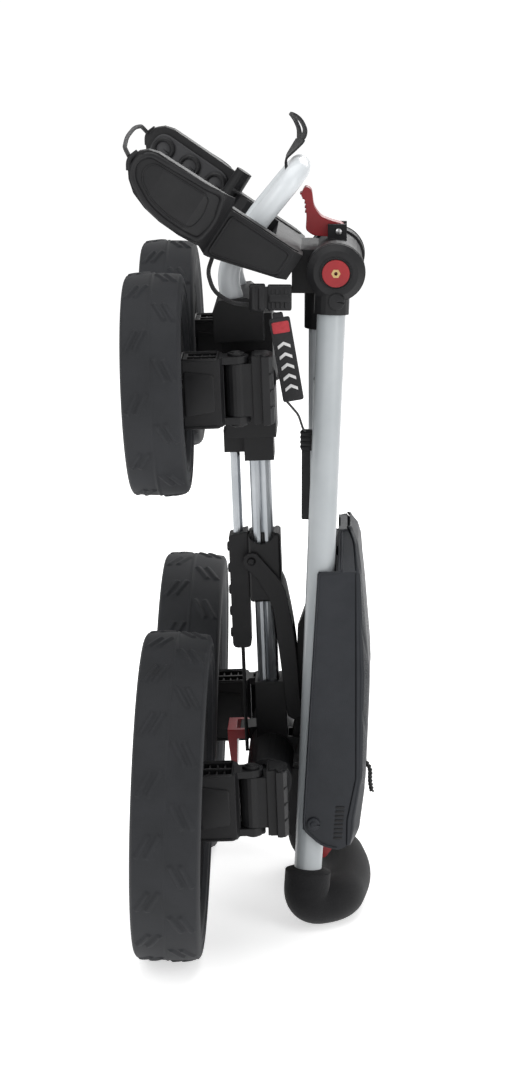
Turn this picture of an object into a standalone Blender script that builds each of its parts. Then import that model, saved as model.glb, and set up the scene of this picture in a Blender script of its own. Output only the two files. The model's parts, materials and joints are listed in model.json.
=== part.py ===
"""Golf push trolley with four wheels, folded flat and standing on end.

Metres, +Z up. The trolley rests on its two rear wheels and on the grip of its
handle. X is the thin direction: wheels at -X, console at +X. Y runs across, and
the object is symmetric about Y = 0 apart from a few small fittings.
"""
import math

import bmesh
import bpy
from mathutils import Matrix, Vector

# ---------------------------------------------------------------- driving sizes
GAP = 0.0003                    # clearance between touching pieces

LEAN = math.radians(2.2)        # the chassis leans towards -X
CENTRE_X = 0.00413              # puts the middle of the folded trolley over the origin
CHASSIS_FOOT_X = 0.0193         # where the rail's axis meets the floor

RAIL_WIDTH = 0.0195
RAIL_DEPTH = 0.027
RAIL_GROOVE = 0.0025
RAIL_LOW = 0.168
RAIL_HIGH = 0.500

REAR_RADIUS = 0.150
REAR_WIDTH = 0.062
REAR_SPACING = 0.158            # half the distance between the rear wheels' centres
REAR_LEAN = math.radians(3.6)   # rear axles against the chassis
FRONT_RADIUS = 0.1007
FRONT_WIDTH = 0.0533
FRONT_SPACING = 0.117
FRONT_AXLE_Z = 0.5255           # along the rail
WHEEL_X = -0.0845               # wheel centres, from the rail
TYRE_THICKNESS = 0.0325
RIM_WALL = 0.004
WEB_THICKNESS = 0.008
HUB_RADIUS = 0.018
HUB_REACH = 0.0205
AXLE_RADIUS = 0.005
ARM_DROP = 0.0065               # arm centre below the axle

PIN_X = -0.0135
PIN_RADIUS = 0.004
ARM_HEIGHT = 0.0610
ARM_HALF_WIDTH = 0.021
ARM_END_X = -0.0610
EAR_THICKNESS = 0.0065
POCKET_DEPTH = 0.020
BARREL_RADIUS = 0.011
KNUCKLE_OUT_X = 0.019

LOOP_RADIUS = 0.010
LOOP_HALF_WIDTH = 0.042
STRAP_TWIST = math.radians(24)

FOLD_X = 0.030                  # fold pin, in the chassis frame
FOLD_Z = 0.150
FOLD_PIN_RADIUS = 0.0045
LINK_X = -0.0233                # push tube and rod, in the chassis frame
PUSH_TUBE_RADIUS = 0.0046
PUSH_ROD_RADIUS = 0.0018
SLIDER_LOW = 0.297
SLIDER_HIGH = 0.363
SLIDER_HALF_DEPTH = 0.0185
STRIP_LOW = 0.2515
STRIP_HIGH = 0.3645
BRACE_THICKNESS = 0.004

MAIN_TUBE_X = 0.0605
MAIN_TUBE_RADIUS = 0.0125
MAIN_TUBE_LOW = 0.186
MAIN_TUBE_HIGH = 0.590
FOOT_RADIUS = 0.0168

HINGE_X = 0.0734
HINGE_Z = 0.6165
HINGE_DISC_RADIUS = 0.0263
HINGE_DISC_IN = 0.0445
HINGE_DISC_OUT = 0.0725
HINGE_BOLT_RADIUS = 0.004
CAP_RADIUS = 0.0125

BRACKET_ANGLE = math.radians(33.4)
BRACKET_Z = 0.650

LEG_RADIUS = 0.013
LEG_TOP_Y = 0.060
LEG_LOW_Y = 0.087
LEG_SLOPE = 0.036
GRIP_RADIUS = 0.0215
GRIP_Z = GRIP_RADIUS

CONSOLE_LOW = 0.080
CONSOLE_HIGH = 0.371
CONSOLE_SHOULDER = 0.343        # above it the console narrows to its top
CONSOLE_TOP_HALF = 0.032
CONSOLE_WALL = 0.003
LID_HINGE_Z = 0.0840
LID_HINGE_X = 0.0868
BARREL_SPACE = 0.0118           # from the pin to the arm's solid part

# -------------------------------------------------------------------- clean file
for old in list(bpy.data.objects):
    bpy.data.objects.remove(old, do_unlink=True)

PARTS = bpy.data.collections.new("golf_push_trolley")
TOOLS = bpy.data.collections.new("cutters")
bpy.context.scene.collection.children.link(PARTS)
bpy.context.scene.collection.children.link(TOOLS)

# ------------------------------------------------------------------------ frames
TROLLEY = Matrix.Translation((CENTRE_X, 0, 0))
CHASSIS = TROLLEY @ Matrix.Translation((CHASSIS_FOOT_X, 0, 0)) @ Matrix.Rotation(-LEAN, 4, "Y")
BRACKET = TROLLEY @ Matrix.Translation((0, 0, BRACKET_Z)) @ Matrix.Rotation(BRACKET_ANGLE, 4, "Y")


# --------------------------------------------------------------------- materials
def material(name, colour, roughness, metallic=0.0):
    """A Principled material with one colour."""
    made = bpy.data.materials.new(name)
    made.use_nodes = True
    shader = made.node_tree.nodes["Principled BSDF"]
    shader.inputs["Base Color"].default_value = (*colour, 1.0)
    shader.inputs["Roughness"].default_value = roughness
    shader.inputs["Metallic"].default_value = metallic
    made.diffuse_color = (*colour, 1.0)
    return made


NYLON = material("black_nylon", (0.018, 0.018, 0.02), 0.5)
TYRE = material("tyre_rubber", (0.03, 0.031, 0.034), 0.75)
RIM = material("rim_plastic", (0.02, 0.02, 0.022), 0.45)
ALUMINIUM = material("anodised_aluminium", (0.62, 0.64, 0.66), 0.3, 1.0)
WHITE = material("white_paint", (0.80, 0.83, 0.84), 0.3)
STEEL = material("steel", (0.55, 0.55, 0.56), 0.3, 1.0)
RED = material("red_plastic", (0.45, 0.015, 0.02), 0.35)
CONSOLE = material("console_plastic", (0.035, 0.037, 0.042), 0.5)
FOAM = material("grip_foam", (0.014, 0.014, 0.015), 0.9)
WEBBING = material("webbing", (0.015, 0.015, 0.016), 0.85)
PAD = material("pad_rubber", (0.10, 0.10, 0.105), 0.7)


# ----------------------------------------------------------------------- shaping
def add(name, mesh, frame, look):
    """Puts a mesh in the parts collection, in one frame, with one material."""
    made = bpy.data.objects.new(name, mesh)
    made.matrix_world = frame
    mesh.materials.clear()
    mesh.materials.append(look)
    PARTS.objects.link(made)
    return made


def mesh_from(shape, name):
    """Turns a bmesh into a named mesh with outward faces."""
    bmesh.ops.recalc_face_normals(shape, faces=shape.faces)
    mesh = bpy.data.meshes.new(name)
    shape.to_mesh(mesh)
    shape.free()
    return mesh


def bevelled(made, width, segments=1):
    """Rounds an object's sharp edges."""
    modifier = made.modifiers.new("bevel", "BEVEL")
    modifier.width = width
    modifier.segments = segments
    modifier.limit_method = "ANGLE"
    modifier.angle_limit = math.radians(40)
    return made


def box(name, low, high, frame, look, bevel=0.0):
    """A block between two corners of its frame."""
    low = Vector(low)
    high = Vector(high)
    shape = bmesh.new()
    place = Matrix.Translation((low + high) / 2) @ Matrix.Diagonal((*(high - low), 1))
    bmesh.ops.create_cube(shape, size=1.0, matrix=place)
    made = add(name, mesh_from(shape, name), frame, look)
    if bevel:
        bevelled(made, bevel)
    return made


def rod(name, radius, start, end, frame, look, sides=16, end_radius=None):
    """A round bar between two points of its frame."""
    start = Vector(start)
    along = Vector(end) - start
    turn = along.to_track_quat("Z", "Y").to_matrix().to_4x4()
    place = Matrix.Translation(start + along / 2) @ turn
    shape = bmesh.new()
    bmesh.ops.create_cone(shape, cap_ends=True, segments=sides, radius1=radius,
                          radius2=radius if end_radius is None else end_radius,
                          depth=along.length, matrix=place)
    mesh = mesh_from(shape, name)
    mesh.shade_smooth()
    mesh.set_sharp_from_angle(angle=math.radians(40))
    return add(name, mesh, frame, look)


def turned(name, outline, frame, look, steps=32):
    """A ring turned about its frame's X axis from a closed (radius, x) outline."""
    mesh = bpy.data.meshes.new(name)
    count = len(outline)
    corners = [(radius, 0.0, along) for radius, along in outline]
    mesh.from_pydata(corners, [(i, (i + 1) % count) for i in range(count)], [])
    lay = frame @ Matrix.Rotation(math.radians(90), 4, "Y")
    made = add(name, mesh, lay, look)
    screw = made.modifiers.new("turn", "SCREW")
    screw.steps = steps
    screw.render_steps = steps
    screw.use_merge_vertices = True
    screw.merge_threshold = 0.00001
    screw.use_smooth_shade = True
    return made


def soften(points, reach, steps=4, closed=False):
    """Replaces each corner of a path by a smooth curve that starts reach away."""
    count = len(points)
    result = []
    for index, corner in enumerate(points):
        corner = Vector(corner)
        cut = reach[index] if isinstance(reach, (list, tuple)) else reach
        at_end = not closed and index in (0, count - 1)
        if at_end or cut <= 0:
            result.append(corner)
            continue
        before = Vector(points[index - 1]) - corner
        after = Vector(points[(index + 1) % count]) - corner
        first = corner + before.normalized() * min(cut, before.length * 0.49)
        last = corner + after.normalized() * min(cut, after.length * 0.49)
        for step in range(steps + 1):
            t = step / steps
            result.append(first * (1 - t) ** 2 + corner * 2 * t * (1 - t) + last * t * t)
    return result


def mesh_of_curve(curve, name):
    """The welded mesh of a curve, which is then removed."""
    temporary = bpy.data.objects.new(name, curve)
    PARTS.objects.link(temporary)
    evaluated = temporary.evaluated_get(bpy.context.evaluated_depsgraph_get())
    mesh = bpy.data.meshes.new_from_object(evaluated)
    bpy.data.objects.remove(temporary, do_unlink=True)
    bpy.data.curves.remove(curve)
    shape = bmesh.new()
    shape.from_mesh(mesh)
    bmesh.ops.remove_doubles(shape, verts=shape.verts, dist=0.00001)
    bpy.data.meshes.remove(mesh)
    return shape


def sweep(name, points, radius, frame, look, resolution=3, caps=True):
    """A round tube along a path."""
    curve = bpy.data.curves.new(name, "CURVE")
    curve.dimensions = "3D"
    curve.bevel_depth = radius
    curve.bevel_resolution = resolution
    curve.use_fill_caps = caps
    spline = curve.splines.new("POLY")
    spline.points.add(len(points) - 1)
    for point, place in zip(spline.points, points):
        point.co = (*place, 1.0)
    mesh = mesh_from(mesh_of_curve(curve, name), name)
    mesh.shade_smooth()
    mesh.set_sharp_from_angle(angle=math.radians(40))
    return add(name, mesh, frame, look)


def plate(name, outline, low, high, plane, frame, look, bevel=0.0):
    """A flat outline in XY or XZ, from low to high along the third axis."""
    curve = bpy.data.curves.new(name, "CURVE")
    curve.dimensions = "2D"
    curve.fill_mode = "BOTH"
    curve.extrude = (high - low) / 2
    spline = curve.splines.new("POLY")
    spline.points.add(len(outline) - 1)
    spline.use_cyclic_u = True
    for point, place in zip(spline.points, outline):
        point.co = (place[0], place[1], 0.0, 1.0)
    shape = mesh_of_curve(curve, name)
    middle = (low + high) / 2
    if plane == "XZ":
        lay = Matrix.Translation((0, middle, 0)) @ Matrix.Rotation(math.radians(90), 4, "X")
    else:
        lay = Matrix.Translation((0, 0, middle))
    bmesh.ops.transform(shape, matrix=lay, verts=shape.verts)
    made = add(name, mesh_from(shape, name), frame, look)
    if bevel:
        bevelled(made, bevel)
    return made


def ribbon(name, path, thickness, low, high, frame, look):
    """A flat strap: a path in XZ given a thickness, from low to high along Y."""
    left = []
    right = []
    for index, point in enumerate(path):
        before = Vector(path[max(index - 1, 0)])
        after = Vector(path[min(index + 1, len(path) - 1)])
        along = (after - before).normalized()
        side = Vector((-along.y, along.x)) * thickness / 2
        left.append(Vector(point) + side)
        right.append(Vector(point) - side)
    return plate(name, left + right[::-1], low, high, "XZ", frame, look)


def as_tool(tool):
    """Moves an object to the cutters collection."""
    PARTS.objects.unlink(tool)
    TOOLS.objects.link(tool)
    tool.hide_render = True
    tool.display_type = "WIRE"
    return tool


def combine(made, tool, operation):
    """Adds an exact Boolean with a tool object."""
    modifier = made.modifiers.new(operation.lower(), "BOOLEAN")
    modifier.operation = operation
    modifier.object = as_tool(tool)
    return made


def cut(made, tool):
    return combine(made, tool, "DIFFERENCE")


def join(made, tool):
    return combine(made, tool, "UNION")


def body(name, place):
    """The empty that carries one moving body, on its joint's axis."""
    holder = bpy.data.objects.new(name, None)
    holder.empty_display_size = 0.03
    holder.location = TROLLEY @ Vector(place)
    PARTS.objects.link(holder)
    return holder


def attach(holder, *pieces):
    """Parents pieces to a body and leaves them where they are."""
    bpy.context.view_layer.update()
    for piece in pieces:
        placed = piece.matrix_world.copy()
        piece.parent = holder
        piece.matrix_parent_inverse = holder.matrix_world.inverted()
        piece.matrix_world = placed


def mirrored(points):
    """A closed outline from its +Y half, whose ends lie on the X axis."""
    return list(points) + [(x, -y) for x, y in reversed(points) if y > 0]


# ---------------------------------------------------------------- tube profiles
def lobed_outline(grow=0.0):
    """A rounded bar with a groove in each broad face, width along X."""
    half_width = RAIL_WIDTH / 2 + grow
    half_depth = RAIL_DEPTH / 2 + grow
    groove = half_depth - RAIL_GROOVE
    quarter = [(0.0, groove), (half_width * 0.22, half_depth - RAIL_GROOVE * 0.35),
               (half_width * 0.52, half_depth), (half_width * 0.85, half_depth * 0.91),
               (half_width, half_depth * 0.70)]
    right = quarter + [(x, -y) for x, y in reversed(quarter)]
    left = [(-x, -y) for x, y in right[1:-1]]
    return right + left


def lobed_bar(name, low, high, frame, look, grow=0.0):
    """The double-lobed section along its frame's Z axis."""
    return plate(name, lobed_outline(grow), low, high, "XY", frame, look)


def across(z):
    """A frame whose Z axis runs along +Y, at a height on the rail."""
    return CHASSIS @ Matrix.Translation((0, 0, z)) @ Matrix.Rotation(math.radians(-90), 4, "X")


# ------------------------------------------------------------------------ wheels
def wheel_sizes(front):
    """Radius, width, half spacing, axle height on the rail and lean of one pair."""
    if front:
        return FRONT_RADIUS, FRONT_WIDTH, FRONT_SPACING, FRONT_AXLE_Z, 0.0
    tilt = REAR_LEAN - LEAN
    rise = REAR_RADIUS * math.cos(tilt)
    height = (rise - WHEEL_X * math.sin(LEAN)) / math.cos(LEAN)
    return REAR_RADIUS, REAR_WIDTH, REAR_SPACING, height, REAR_LEAN


def wheel_frame(front, side):
    radius, width, spacing, height, lean = wheel_sizes(front)
    place = Matrix.Translation((WHEEL_X, side * spacing, height))
    return CHASSIS @ place @ Matrix.Rotation(lean, 4, "Y")


def make_wheel(name, front, side):
    """Solid tyre and dished rim, turned about the axle."""
    radius, width = wheel_sizes(front)[:2]
    frame = wheel_frame(front, side)
    half = width / 2
    seat = radius - TYRE_THICKNESS
    sides = 28 if front else 32
    tyre_half = [(radius, 0.0), (radius - 0.0016, half * 0.85), (radius - 0.0050, half * 0.98),
                 (seat + 0.008, half), (seat + GAP, half * 0.80)]
    outline = [(r, -x) for r, x in reversed(tyre_half[1:])] + tyre_half
    tyre = turned("tyre_" + name, outline[::-1], frame, TYRE, sides)
    edge = half * 0.78
    wall = seat - RIM_WALL
    face = WEB_THICKNESS / 2
    bore = AXLE_RADIUS + GAP
    outline = [(seat, edge), (wall, edge), (wall, face),
               (HUB_RADIUS, face), (HUB_RADIUS - 0.002, HUB_REACH), (bore, HUB_REACH),
               (bore, -HUB_REACH), (HUB_RADIUS, -HUB_REACH), (HUB_RADIUS, -face),
               (wall, -face), (wall, -edge), (seat, -edge)]
    rim = turned("rim_" + name, outline[::-1], frame, RIM, sides)
    return tyre, rim


def make_arm(name, front, side):
    """Ribbed swing arm, its axle stub, hinge pin and the fixed knuckle."""
    spacing, height, lean = wheel_sizes(front)[2:]
    middle = height - ARM_DROP
    low = middle - ARM_HEIGHT / 2
    high = middle + ARM_HEIGHT / 2
    y = side * spacing
    pin = (PIN_X, y)
    frame = wheel_frame(front, side)

    arm = plate("arm_" + name, soften([
        (ARM_END_X, y - ARM_HALF_WIDTH), (PIN_X - 0.0140, y - ARM_HALF_WIDTH),
        (PIN_X - BARREL_SPACE, y - BARREL_SPACE), (PIN_X + 0.002, y - 0.0112),
        (PIN_X + 0.0112, y - 0.0062), (PIN_X + 0.0112, y + 0.0062),
        (PIN_X + 0.002, y + 0.0112), (PIN_X - BARREL_SPACE, y + BARREL_SPACE),
        (PIN_X - 0.0140, y + ARM_HALF_WIDTH), (ARM_END_X, y + ARM_HALF_WIDTH)],
        [0, 0, 0, 0, 0.004, 0.004, 0, 0, 0, 0], 2, True), low, high, "XY", CHASSIS, NYLON)
    inner_low = low + EAR_THICKNESS
    inner_high = high - EAR_THICKNESS
    cut(arm, box("fork", (PIN_X - BARREL_SPACE, y - 0.03, inner_low), (0.05, y + 0.03, inner_high),
                 CHASSIS, NYLON))
    cut(arm, rod("pin_hole", PIN_RADIUS + GAP, (*pin, low - 0.01), (*pin, high + 0.01),
                 CHASSIS, NYLON, 12))
    pocket_in = PIN_X - 0.0175
    pocket_out = ARM_END_X + 0.004
    for top in (True, False):
        for half in (-1, 1):
            z_near = high + 0.01 if top else low - 0.01
            z_deep = high - POCKET_DEPTH if top else low + POCKET_DEPTH
            y_near = y + half * 0.002
            y_far = y + half * (ARM_HALF_WIDTH - 0.0035)
            corner = (pocket_out, min(y_near, y_far), min(z_near, z_deep))
            other = (pocket_in, max(y_near, y_far), max(z_near, z_deep))
            cut(arm, box("pocket", corner, other, CHASSIS, NYLON))
    cut(arm, rod("axle_hole", AXLE_RADIUS + GAP, (0.0200, 0, 0), (0.047, 0, 0),
                 frame, NYLON, 12))

    axle = rod("axle_" + name, AXLE_RADIUS, (-HUB_REACH - 0.004, 0, 0), (0.0455, 0, 0),
               frame, STEEL, 12)
    hinge_pin = rod("hinge_pin_" + name, PIN_RADIUS, (*pin, low - 0.0015),
                    (*pin, high + 0.0015), CHASSIS, STEEL, 12)

    barrel_low = inner_low + GAP
    barrel_high = inner_high - GAP
    inward = -side
    knuckle = rod("knuckle_" + name, BARREL_RADIUS, (*pin, barrel_low), (*pin, barrel_high),
                  CHASSIS, NYLON, 20)
    join(knuckle, box("neck", (PIN_X + 0.002, y - 0.0095, barrel_low),
                      (0.004, y + 0.0095, barrel_high), CHASSIS, NYLON))
    end = [(0.0005, y - side * 0.020), (KNUCKLE_OUT_X - 0.006, y - side * 0.020),
           (KNUCKLE_OUT_X, y - side * 0.011), (KNUCKLE_OUT_X, y + side * 0.011),
           (KNUCKLE_OUT_X - 0.003, y + side * 0.0180), (0.0092, y + side * 0.0180),
           (0.0087, y + side * 0.0115), (0.0005, y + side * 0.0115)]
    join(knuckle, plate("end", end if side > 0 else end[::-1], low, high, "XY", CHASSIS, NYLON))
    boss_in = spacing - 0.034
    sleeve = box("boss", (-0.0125, min(side * boss_in, side * (spacing - 0.0145)), middle - 0.0175),
                 (0.0150, max(side * boss_in, side * (spacing - 0.0145)), middle + 0.0175),
                 CHASSIS, NYLON)
    join(knuckle, sleeve)
    socket = lobed_bar("socket", min(side * (boss_in - 0.01), side * (spacing - 0.018)),
                       max(side * (boss_in - 0.01), side * (spacing - 0.018)),
                       across(middle), NYLON, GAP)
    cut(knuckle, socket)
    cut(knuckle, rod("pin_hole", PIN_RADIUS + GAP, (*pin, low - 0.01), (*pin, high + 0.01),
                     CHASSIS, NYLON, 12))
    return arm, axle, hinge_pin, knuckle


# ----------------------------------------------------------------------- chassis
def make_rail():
    return lobed_bar("rail_tube", RAIL_LOW, RAIL_HIGH, CHASSIS, ALUMINIUM)


def make_cross_tube(name, front):
    spacing, height = wheel_sizes(front)[2:4]
    reach = spacing - 0.0185
    return lobed_bar(name, -reach, reach, across(height - ARM_DROP), ALUMINIUM)


def make_front_housing():
    """Sleeve on the rail, body round the front cross tube and sockets for the loop."""
    cross_z = FRONT_AXLE_Z - ARM_DROP
    made = box("front_housing", (-0.0295, -0.034, 0.458), (0.017, 0.034, 0.574), CHASSIS, NYLON)
    join(made, box("sleeve", (-0.0137, -0.0195, 0.4335), (0.0137, 0.0195, 0.470),
                   CHASSIS, NYLON))
    join(made, box("guide", (LINK_X - 0.0095, -0.0105, 0.4405), (-0.0100, 0.0105, 0.462),
                   CHASSIS, NYLON))
    join(made, rod("side_sockets", 0.0205, (0, -0.066, cross_z), (0, 0.066, cross_z),
                   CHASSIS, NYLON, 20))
    join(made, plate("crown", [(-0.036, 0.552), (0.010, 0.552), (0.010, 0.580),
                               (-0.004, 0.592), (-0.030, 0.590), (-0.036, 0.580)],
                     -0.057, 0.057, "XZ", CHASSIS, NYLON))
    cut(made, lobed_bar("rail_bore", 0.40, RAIL_HIGH + 0.001, CHASSIS, NYLON, GAP))
    cut(made, lobed_bar("cross_bore", -0.09, 0.09, across(cross_z), NYLON, GAP))
    cut(made, rod("push_bore", PUSH_TUBE_RADIUS + GAP, (LINK_X, 0, 0.40), (LINK_X, 0, 0.545),
                  CHASSIS, NYLON, 14))
    for side in (-1, 1):
        start, end = loop_points(side)[:2]
        along = (Vector(end) - Vector(start)).normalized()
        cut(made, rod("loop_socket", LOOP_RADIUS + GAP + 0.0002, Vector(start) - along * 0.0003,
                      Vector(start) + along * 0.05, CHASSIS, NYLON, 20))
    return made


def make_rear_housing():
    """Sleeve on the rail, arched sockets for the rear cross tube and the fold ears."""
    cross_z = wheel_sizes(False)[3] - ARM_DROP
    made = box("rear_housing", (-0.0128, -0.0180, 0.112), (0.0165, 0.0180, 0.2185),
               CHASSIS, NYLON)
    join(made, rod("side_sockets", 0.0215, (0, -0.102, cross_z), (0, 0.102, cross_z),
                   CHASSIS, NYLON, 24))
    ears = plate("ears", soften([(0.010, FOLD_Z - 0.012), (FOLD_X + 0.010, FOLD_Z - 0.012),
                                 (FOLD_X + 0.010, FOLD_Z + 0.012), (0.010, FOLD_Z + 0.014)],
                                [0, 0.009, 0.009, 0], 3, True),
                 -0.0180, 0.0180, "XZ", CHASSIS, NYLON)
    join(made, ears)
    join(made, plate("heel", [(0.006, 0.125), (0.002, 0.090), (0.016, 0.062), (0.026, 0.066),
                              (0.026, 0.140)], -0.0105, 0.0105, "XZ", CHASSIS, NYLON))
    join(made, plate("pedal_lug", [(-0.0300, cross_z + 0.008), (-0.0300, cross_z + 0.017),
                                   (-0.006, cross_z + 0.019), (-0.006, cross_z + 0.004)],
                     0.015, 0.045, "XZ", CHASSIS, NYLON))
    cut(made, box("fork", (FOLD_X - 0.0128, -0.0130, FOLD_Z - 0.02), (FOLD_X + 0.03, 0.0130, 0.19),
                  CHASSIS, NYLON))
    cut(made, lobed_bar("rail_bore", RAIL_LOW - 0.001, 0.30, CHASSIS, NYLON, GAP))
    cut(made, lobed_bar("cross_bore", -0.12, 0.12, across(cross_z), NYLON, GAP))
    for side in (-1, 1):
        cut(made, rod("arch", 0.0178, (0, side * 0.080, cross_z - 0.001),
                      (0, side * 0.13, cross_z - 0.001), CHASSIS, NYLON, 24))
    cut(made, rod("fold_bore", FOLD_PIN_RADIUS + GAP, (FOLD_X, -0.03, FOLD_Z),
                  (FOLD_X, 0.03, FOLD_Z), CHASSIS, NYLON, 14))
    return made


def loop_points(side):
    """The path of one leg of the bag base loop, from its socket to the top bend."""
    y = side * LOOP_HALF_WIDTH
    return [(-0.0125, y, 0.5715), (-0.0245, y, 0.615), (0.0060, y, 0.657), (0.0470, y, 0.7035)]


def make_loop():
    """White C-shaped tube with a U-bend at its top."""
    left = loop_points(-1)
    right = loop_points(1)
    path = left + right[::-1]
    reach = [0, 0.026, 0.012, 0.036, 0.036, 0.012, 0.026, 0]
    return sweep("bag_base_loop", soften(path, reach, 5), LOOP_RADIUS, CHASSIS, WHITE, 3)


def make_loop_strap():
    """Webbing tail on the loop's bend."""
    path = [(0.0352, 0.7000), (0.0340, 0.7112), (0.0410, 0.7190), (0.0495, 0.7280),
            (0.0515, 0.7370), (0.0465, 0.7480), (0.0363, 0.7570)]
    made = ribbon("loop_strap", path, 0.0022, -0.011, 0.011, CHASSIS, WEBBING)
    middle = 0.0445
    for vertex in made.data.vertices:
        turn = STRAP_TWIST * min(1.0, max(0.0, (vertex.co.z - 0.712) / 0.014))
        x, y = vertex.co.x - middle, vertex.co.y
        vertex.co.x = middle + x * math.cos(turn) - y * math.sin(turn)
        vertex.co.y = x * math.sin(turn) + y * math.cos(turn)
    return made


def make_fold_pin():
    return rod("fold_pin", FOLD_PIN_RADIUS, (FOLD_X, -0.0178, FOLD_Z),
               (FOLD_X, 0.0178, FOLD_Z), CHASSIS, STEEL, 14)


# ------------------------------------------------------------------ fold linkage
def make_slider():
    """Scalloped sleeve that runs on the rail."""
    depth = SLIDER_HALF_DEPTH
    made = box("slider", (-0.0137, -depth, SLIDER_LOW), (0.0165, depth, SLIDER_HIGH),
               CHASSIS, NYLON, 0.002)
    cut(made, lobed_bar("rail_bore", SLIDER_LOW - 0.01, SLIDER_HIGH + 0.01, CHASSIS, NYLON, GAP))
    for side in (-1, 1):
        cut(made, rod("scallop", 0.013, (-0.001, side * (depth - 0.006), SLIDER_HIGH + 0.003),
                      (-0.001, side * (depth + 0.02), SLIDER_HIGH + 0.003), CHASSIS, NYLON, 20))
    return made


def make_strip_housing():
    """Long housing beside the slider that holds the push tube and the push rod."""
    outline = soften([(-0.0322, STRIP_LOW), (-0.0144, STRIP_LOW), (-0.0140, STRIP_HIGH),
                      (-0.0322, STRIP_HIGH - 0.004)], [0.005, 0.005, 0.001, 0.002], 3, True)
    made = plate("link_strip_housing", outline, -0.0125, 0.0125, "XZ", CHASSIS, NYLON, 0.001)
    cut(made, rod("push_bore", PUSH_TUBE_RADIUS + GAP, (LINK_X, 0, 0.335), (LINK_X, 0, 0.38),
                  CHASSIS, NYLON, 14))
    cut(made, rod("rod_bore", PUSH_ROD_RADIUS + GAP, (LINK_X, 0, 0.24), (LINK_X, 0, 0.270),
                  CHASSIS, NYLON, 10))
    return made


def make_push_tube():
    return rod("push_tube", PUSH_TUBE_RADIUS, (LINK_X, 0, 0.3355), (LINK_X, 0, 0.5300),
               CHASSIS, ALUMINIUM, 14)


def make_push_rod():
    return rod("push_rod", PUSH_ROD_RADIUS, (LINK_X, 0, 0.146), (LINK_X, 0, 0.2695),
               CHASSIS, STEEL, 10)


BRACE_TOP = (-0.0110, 0.3378)
BRACE_BEND = (0.0135, 0.3000)
BRACE_LOW = (0.0240, 0.1900)


def make_brace():
    """Dog-leg link: two plates outside the slider, joined by a web at the bend."""
    top_x, top_z = BRACE_TOP
    low_x, low_z = BRACE_LOW
    outline = soften([(top_x - 0.0085, top_z - 0.004), (top_x + 0.004, top_z - 0.016),
                      (0.0075, 0.2950), (low_x - 0.0065, low_z - 0.004),
                      (low_x, low_z - 0.0080), (low_x + 0.0065, low_z - 0.004),
                      (low_x + 0.0035, 0.262), (0.0195, 0.3100), (0.0150, 0.3190),
                      (top_x + 0.004, top_z + 0.0085), (top_x - 0.006, top_z + 0.007)],
                     [0.004, 0.003, 0.010, 0.002, 0.002, 0.002, 0.03, 0.006, 0.004, 0.004,
                      0.004], 3, True)
    inside = SLIDER_HALF_DEPTH + 0.0007
    outside = inside + BRACE_THICKNESS
    made = plate("brace_link", outline, -outside, outside, "XZ", CHASSIS, NYLON)
    cut(made, box("between", (-0.05, -inside, 0.10), (0.0172, inside, 0.40), CHASSIS, NYLON))
    cut(made, box("below_web", (0.010, -inside, 0.10), (0.05, inside, 0.272), CHASSIS, NYLON))
    cut(made, rod("screw_hole", 0.0037, (top_x, -0.04, top_z), (top_x, 0.04, top_z),
                  CHASSIS, NYLON, 12))
    return made


def make_brace_screw(slider):
    """Pivot studs of the brace: one round stud on each side of the slider."""
    top_x, top_z = BRACE_TOP
    for side in (-1, 1):
        join(slider, rod("stud", 0.0033, (top_x, side * 0.0135, top_z),
                         (top_x, side * (SLIDER_HALF_DEPTH + 0.0062), top_z),
                         CHASSIS, NYLON, 12))


# ----------------------------------------------------------------------- upright
def chassis_point(x, y, z):
    """A chassis point in the trolley's frame."""
    return TROLLEY.inverted() @ CHASSIS @ Vector((x, y, z))


FOLD = chassis_point(FOLD_X, 0, FOLD_Z)
HINGE = Vector((HINGE_X, 0, HINGE_Z))


def leg_x(z):
    """X of a handle leg's axis at a height, when folded."""
    return HINGE_X - LEG_SLOPE * (HINGE_Z - z) - 0.0027


def leg_y(z):
    """Half the distance between the leg axes at a height."""
    share = (HINGE_Z - z) / (HINGE_Z - 0.055)
    return LEG_TOP_Y + (LEG_LOW_Y - LEG_TOP_Y) * share


def make_main_tube():
    return rod("main_tube", MAIN_TUBE_RADIUS, (MAIN_TUBE_X, 0, MAIN_TUBE_LOW),
               (MAIN_TUBE_X, 0, MAIN_TUBE_HIGH), TROLLEY, ALUMINIUM, 24)


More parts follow.
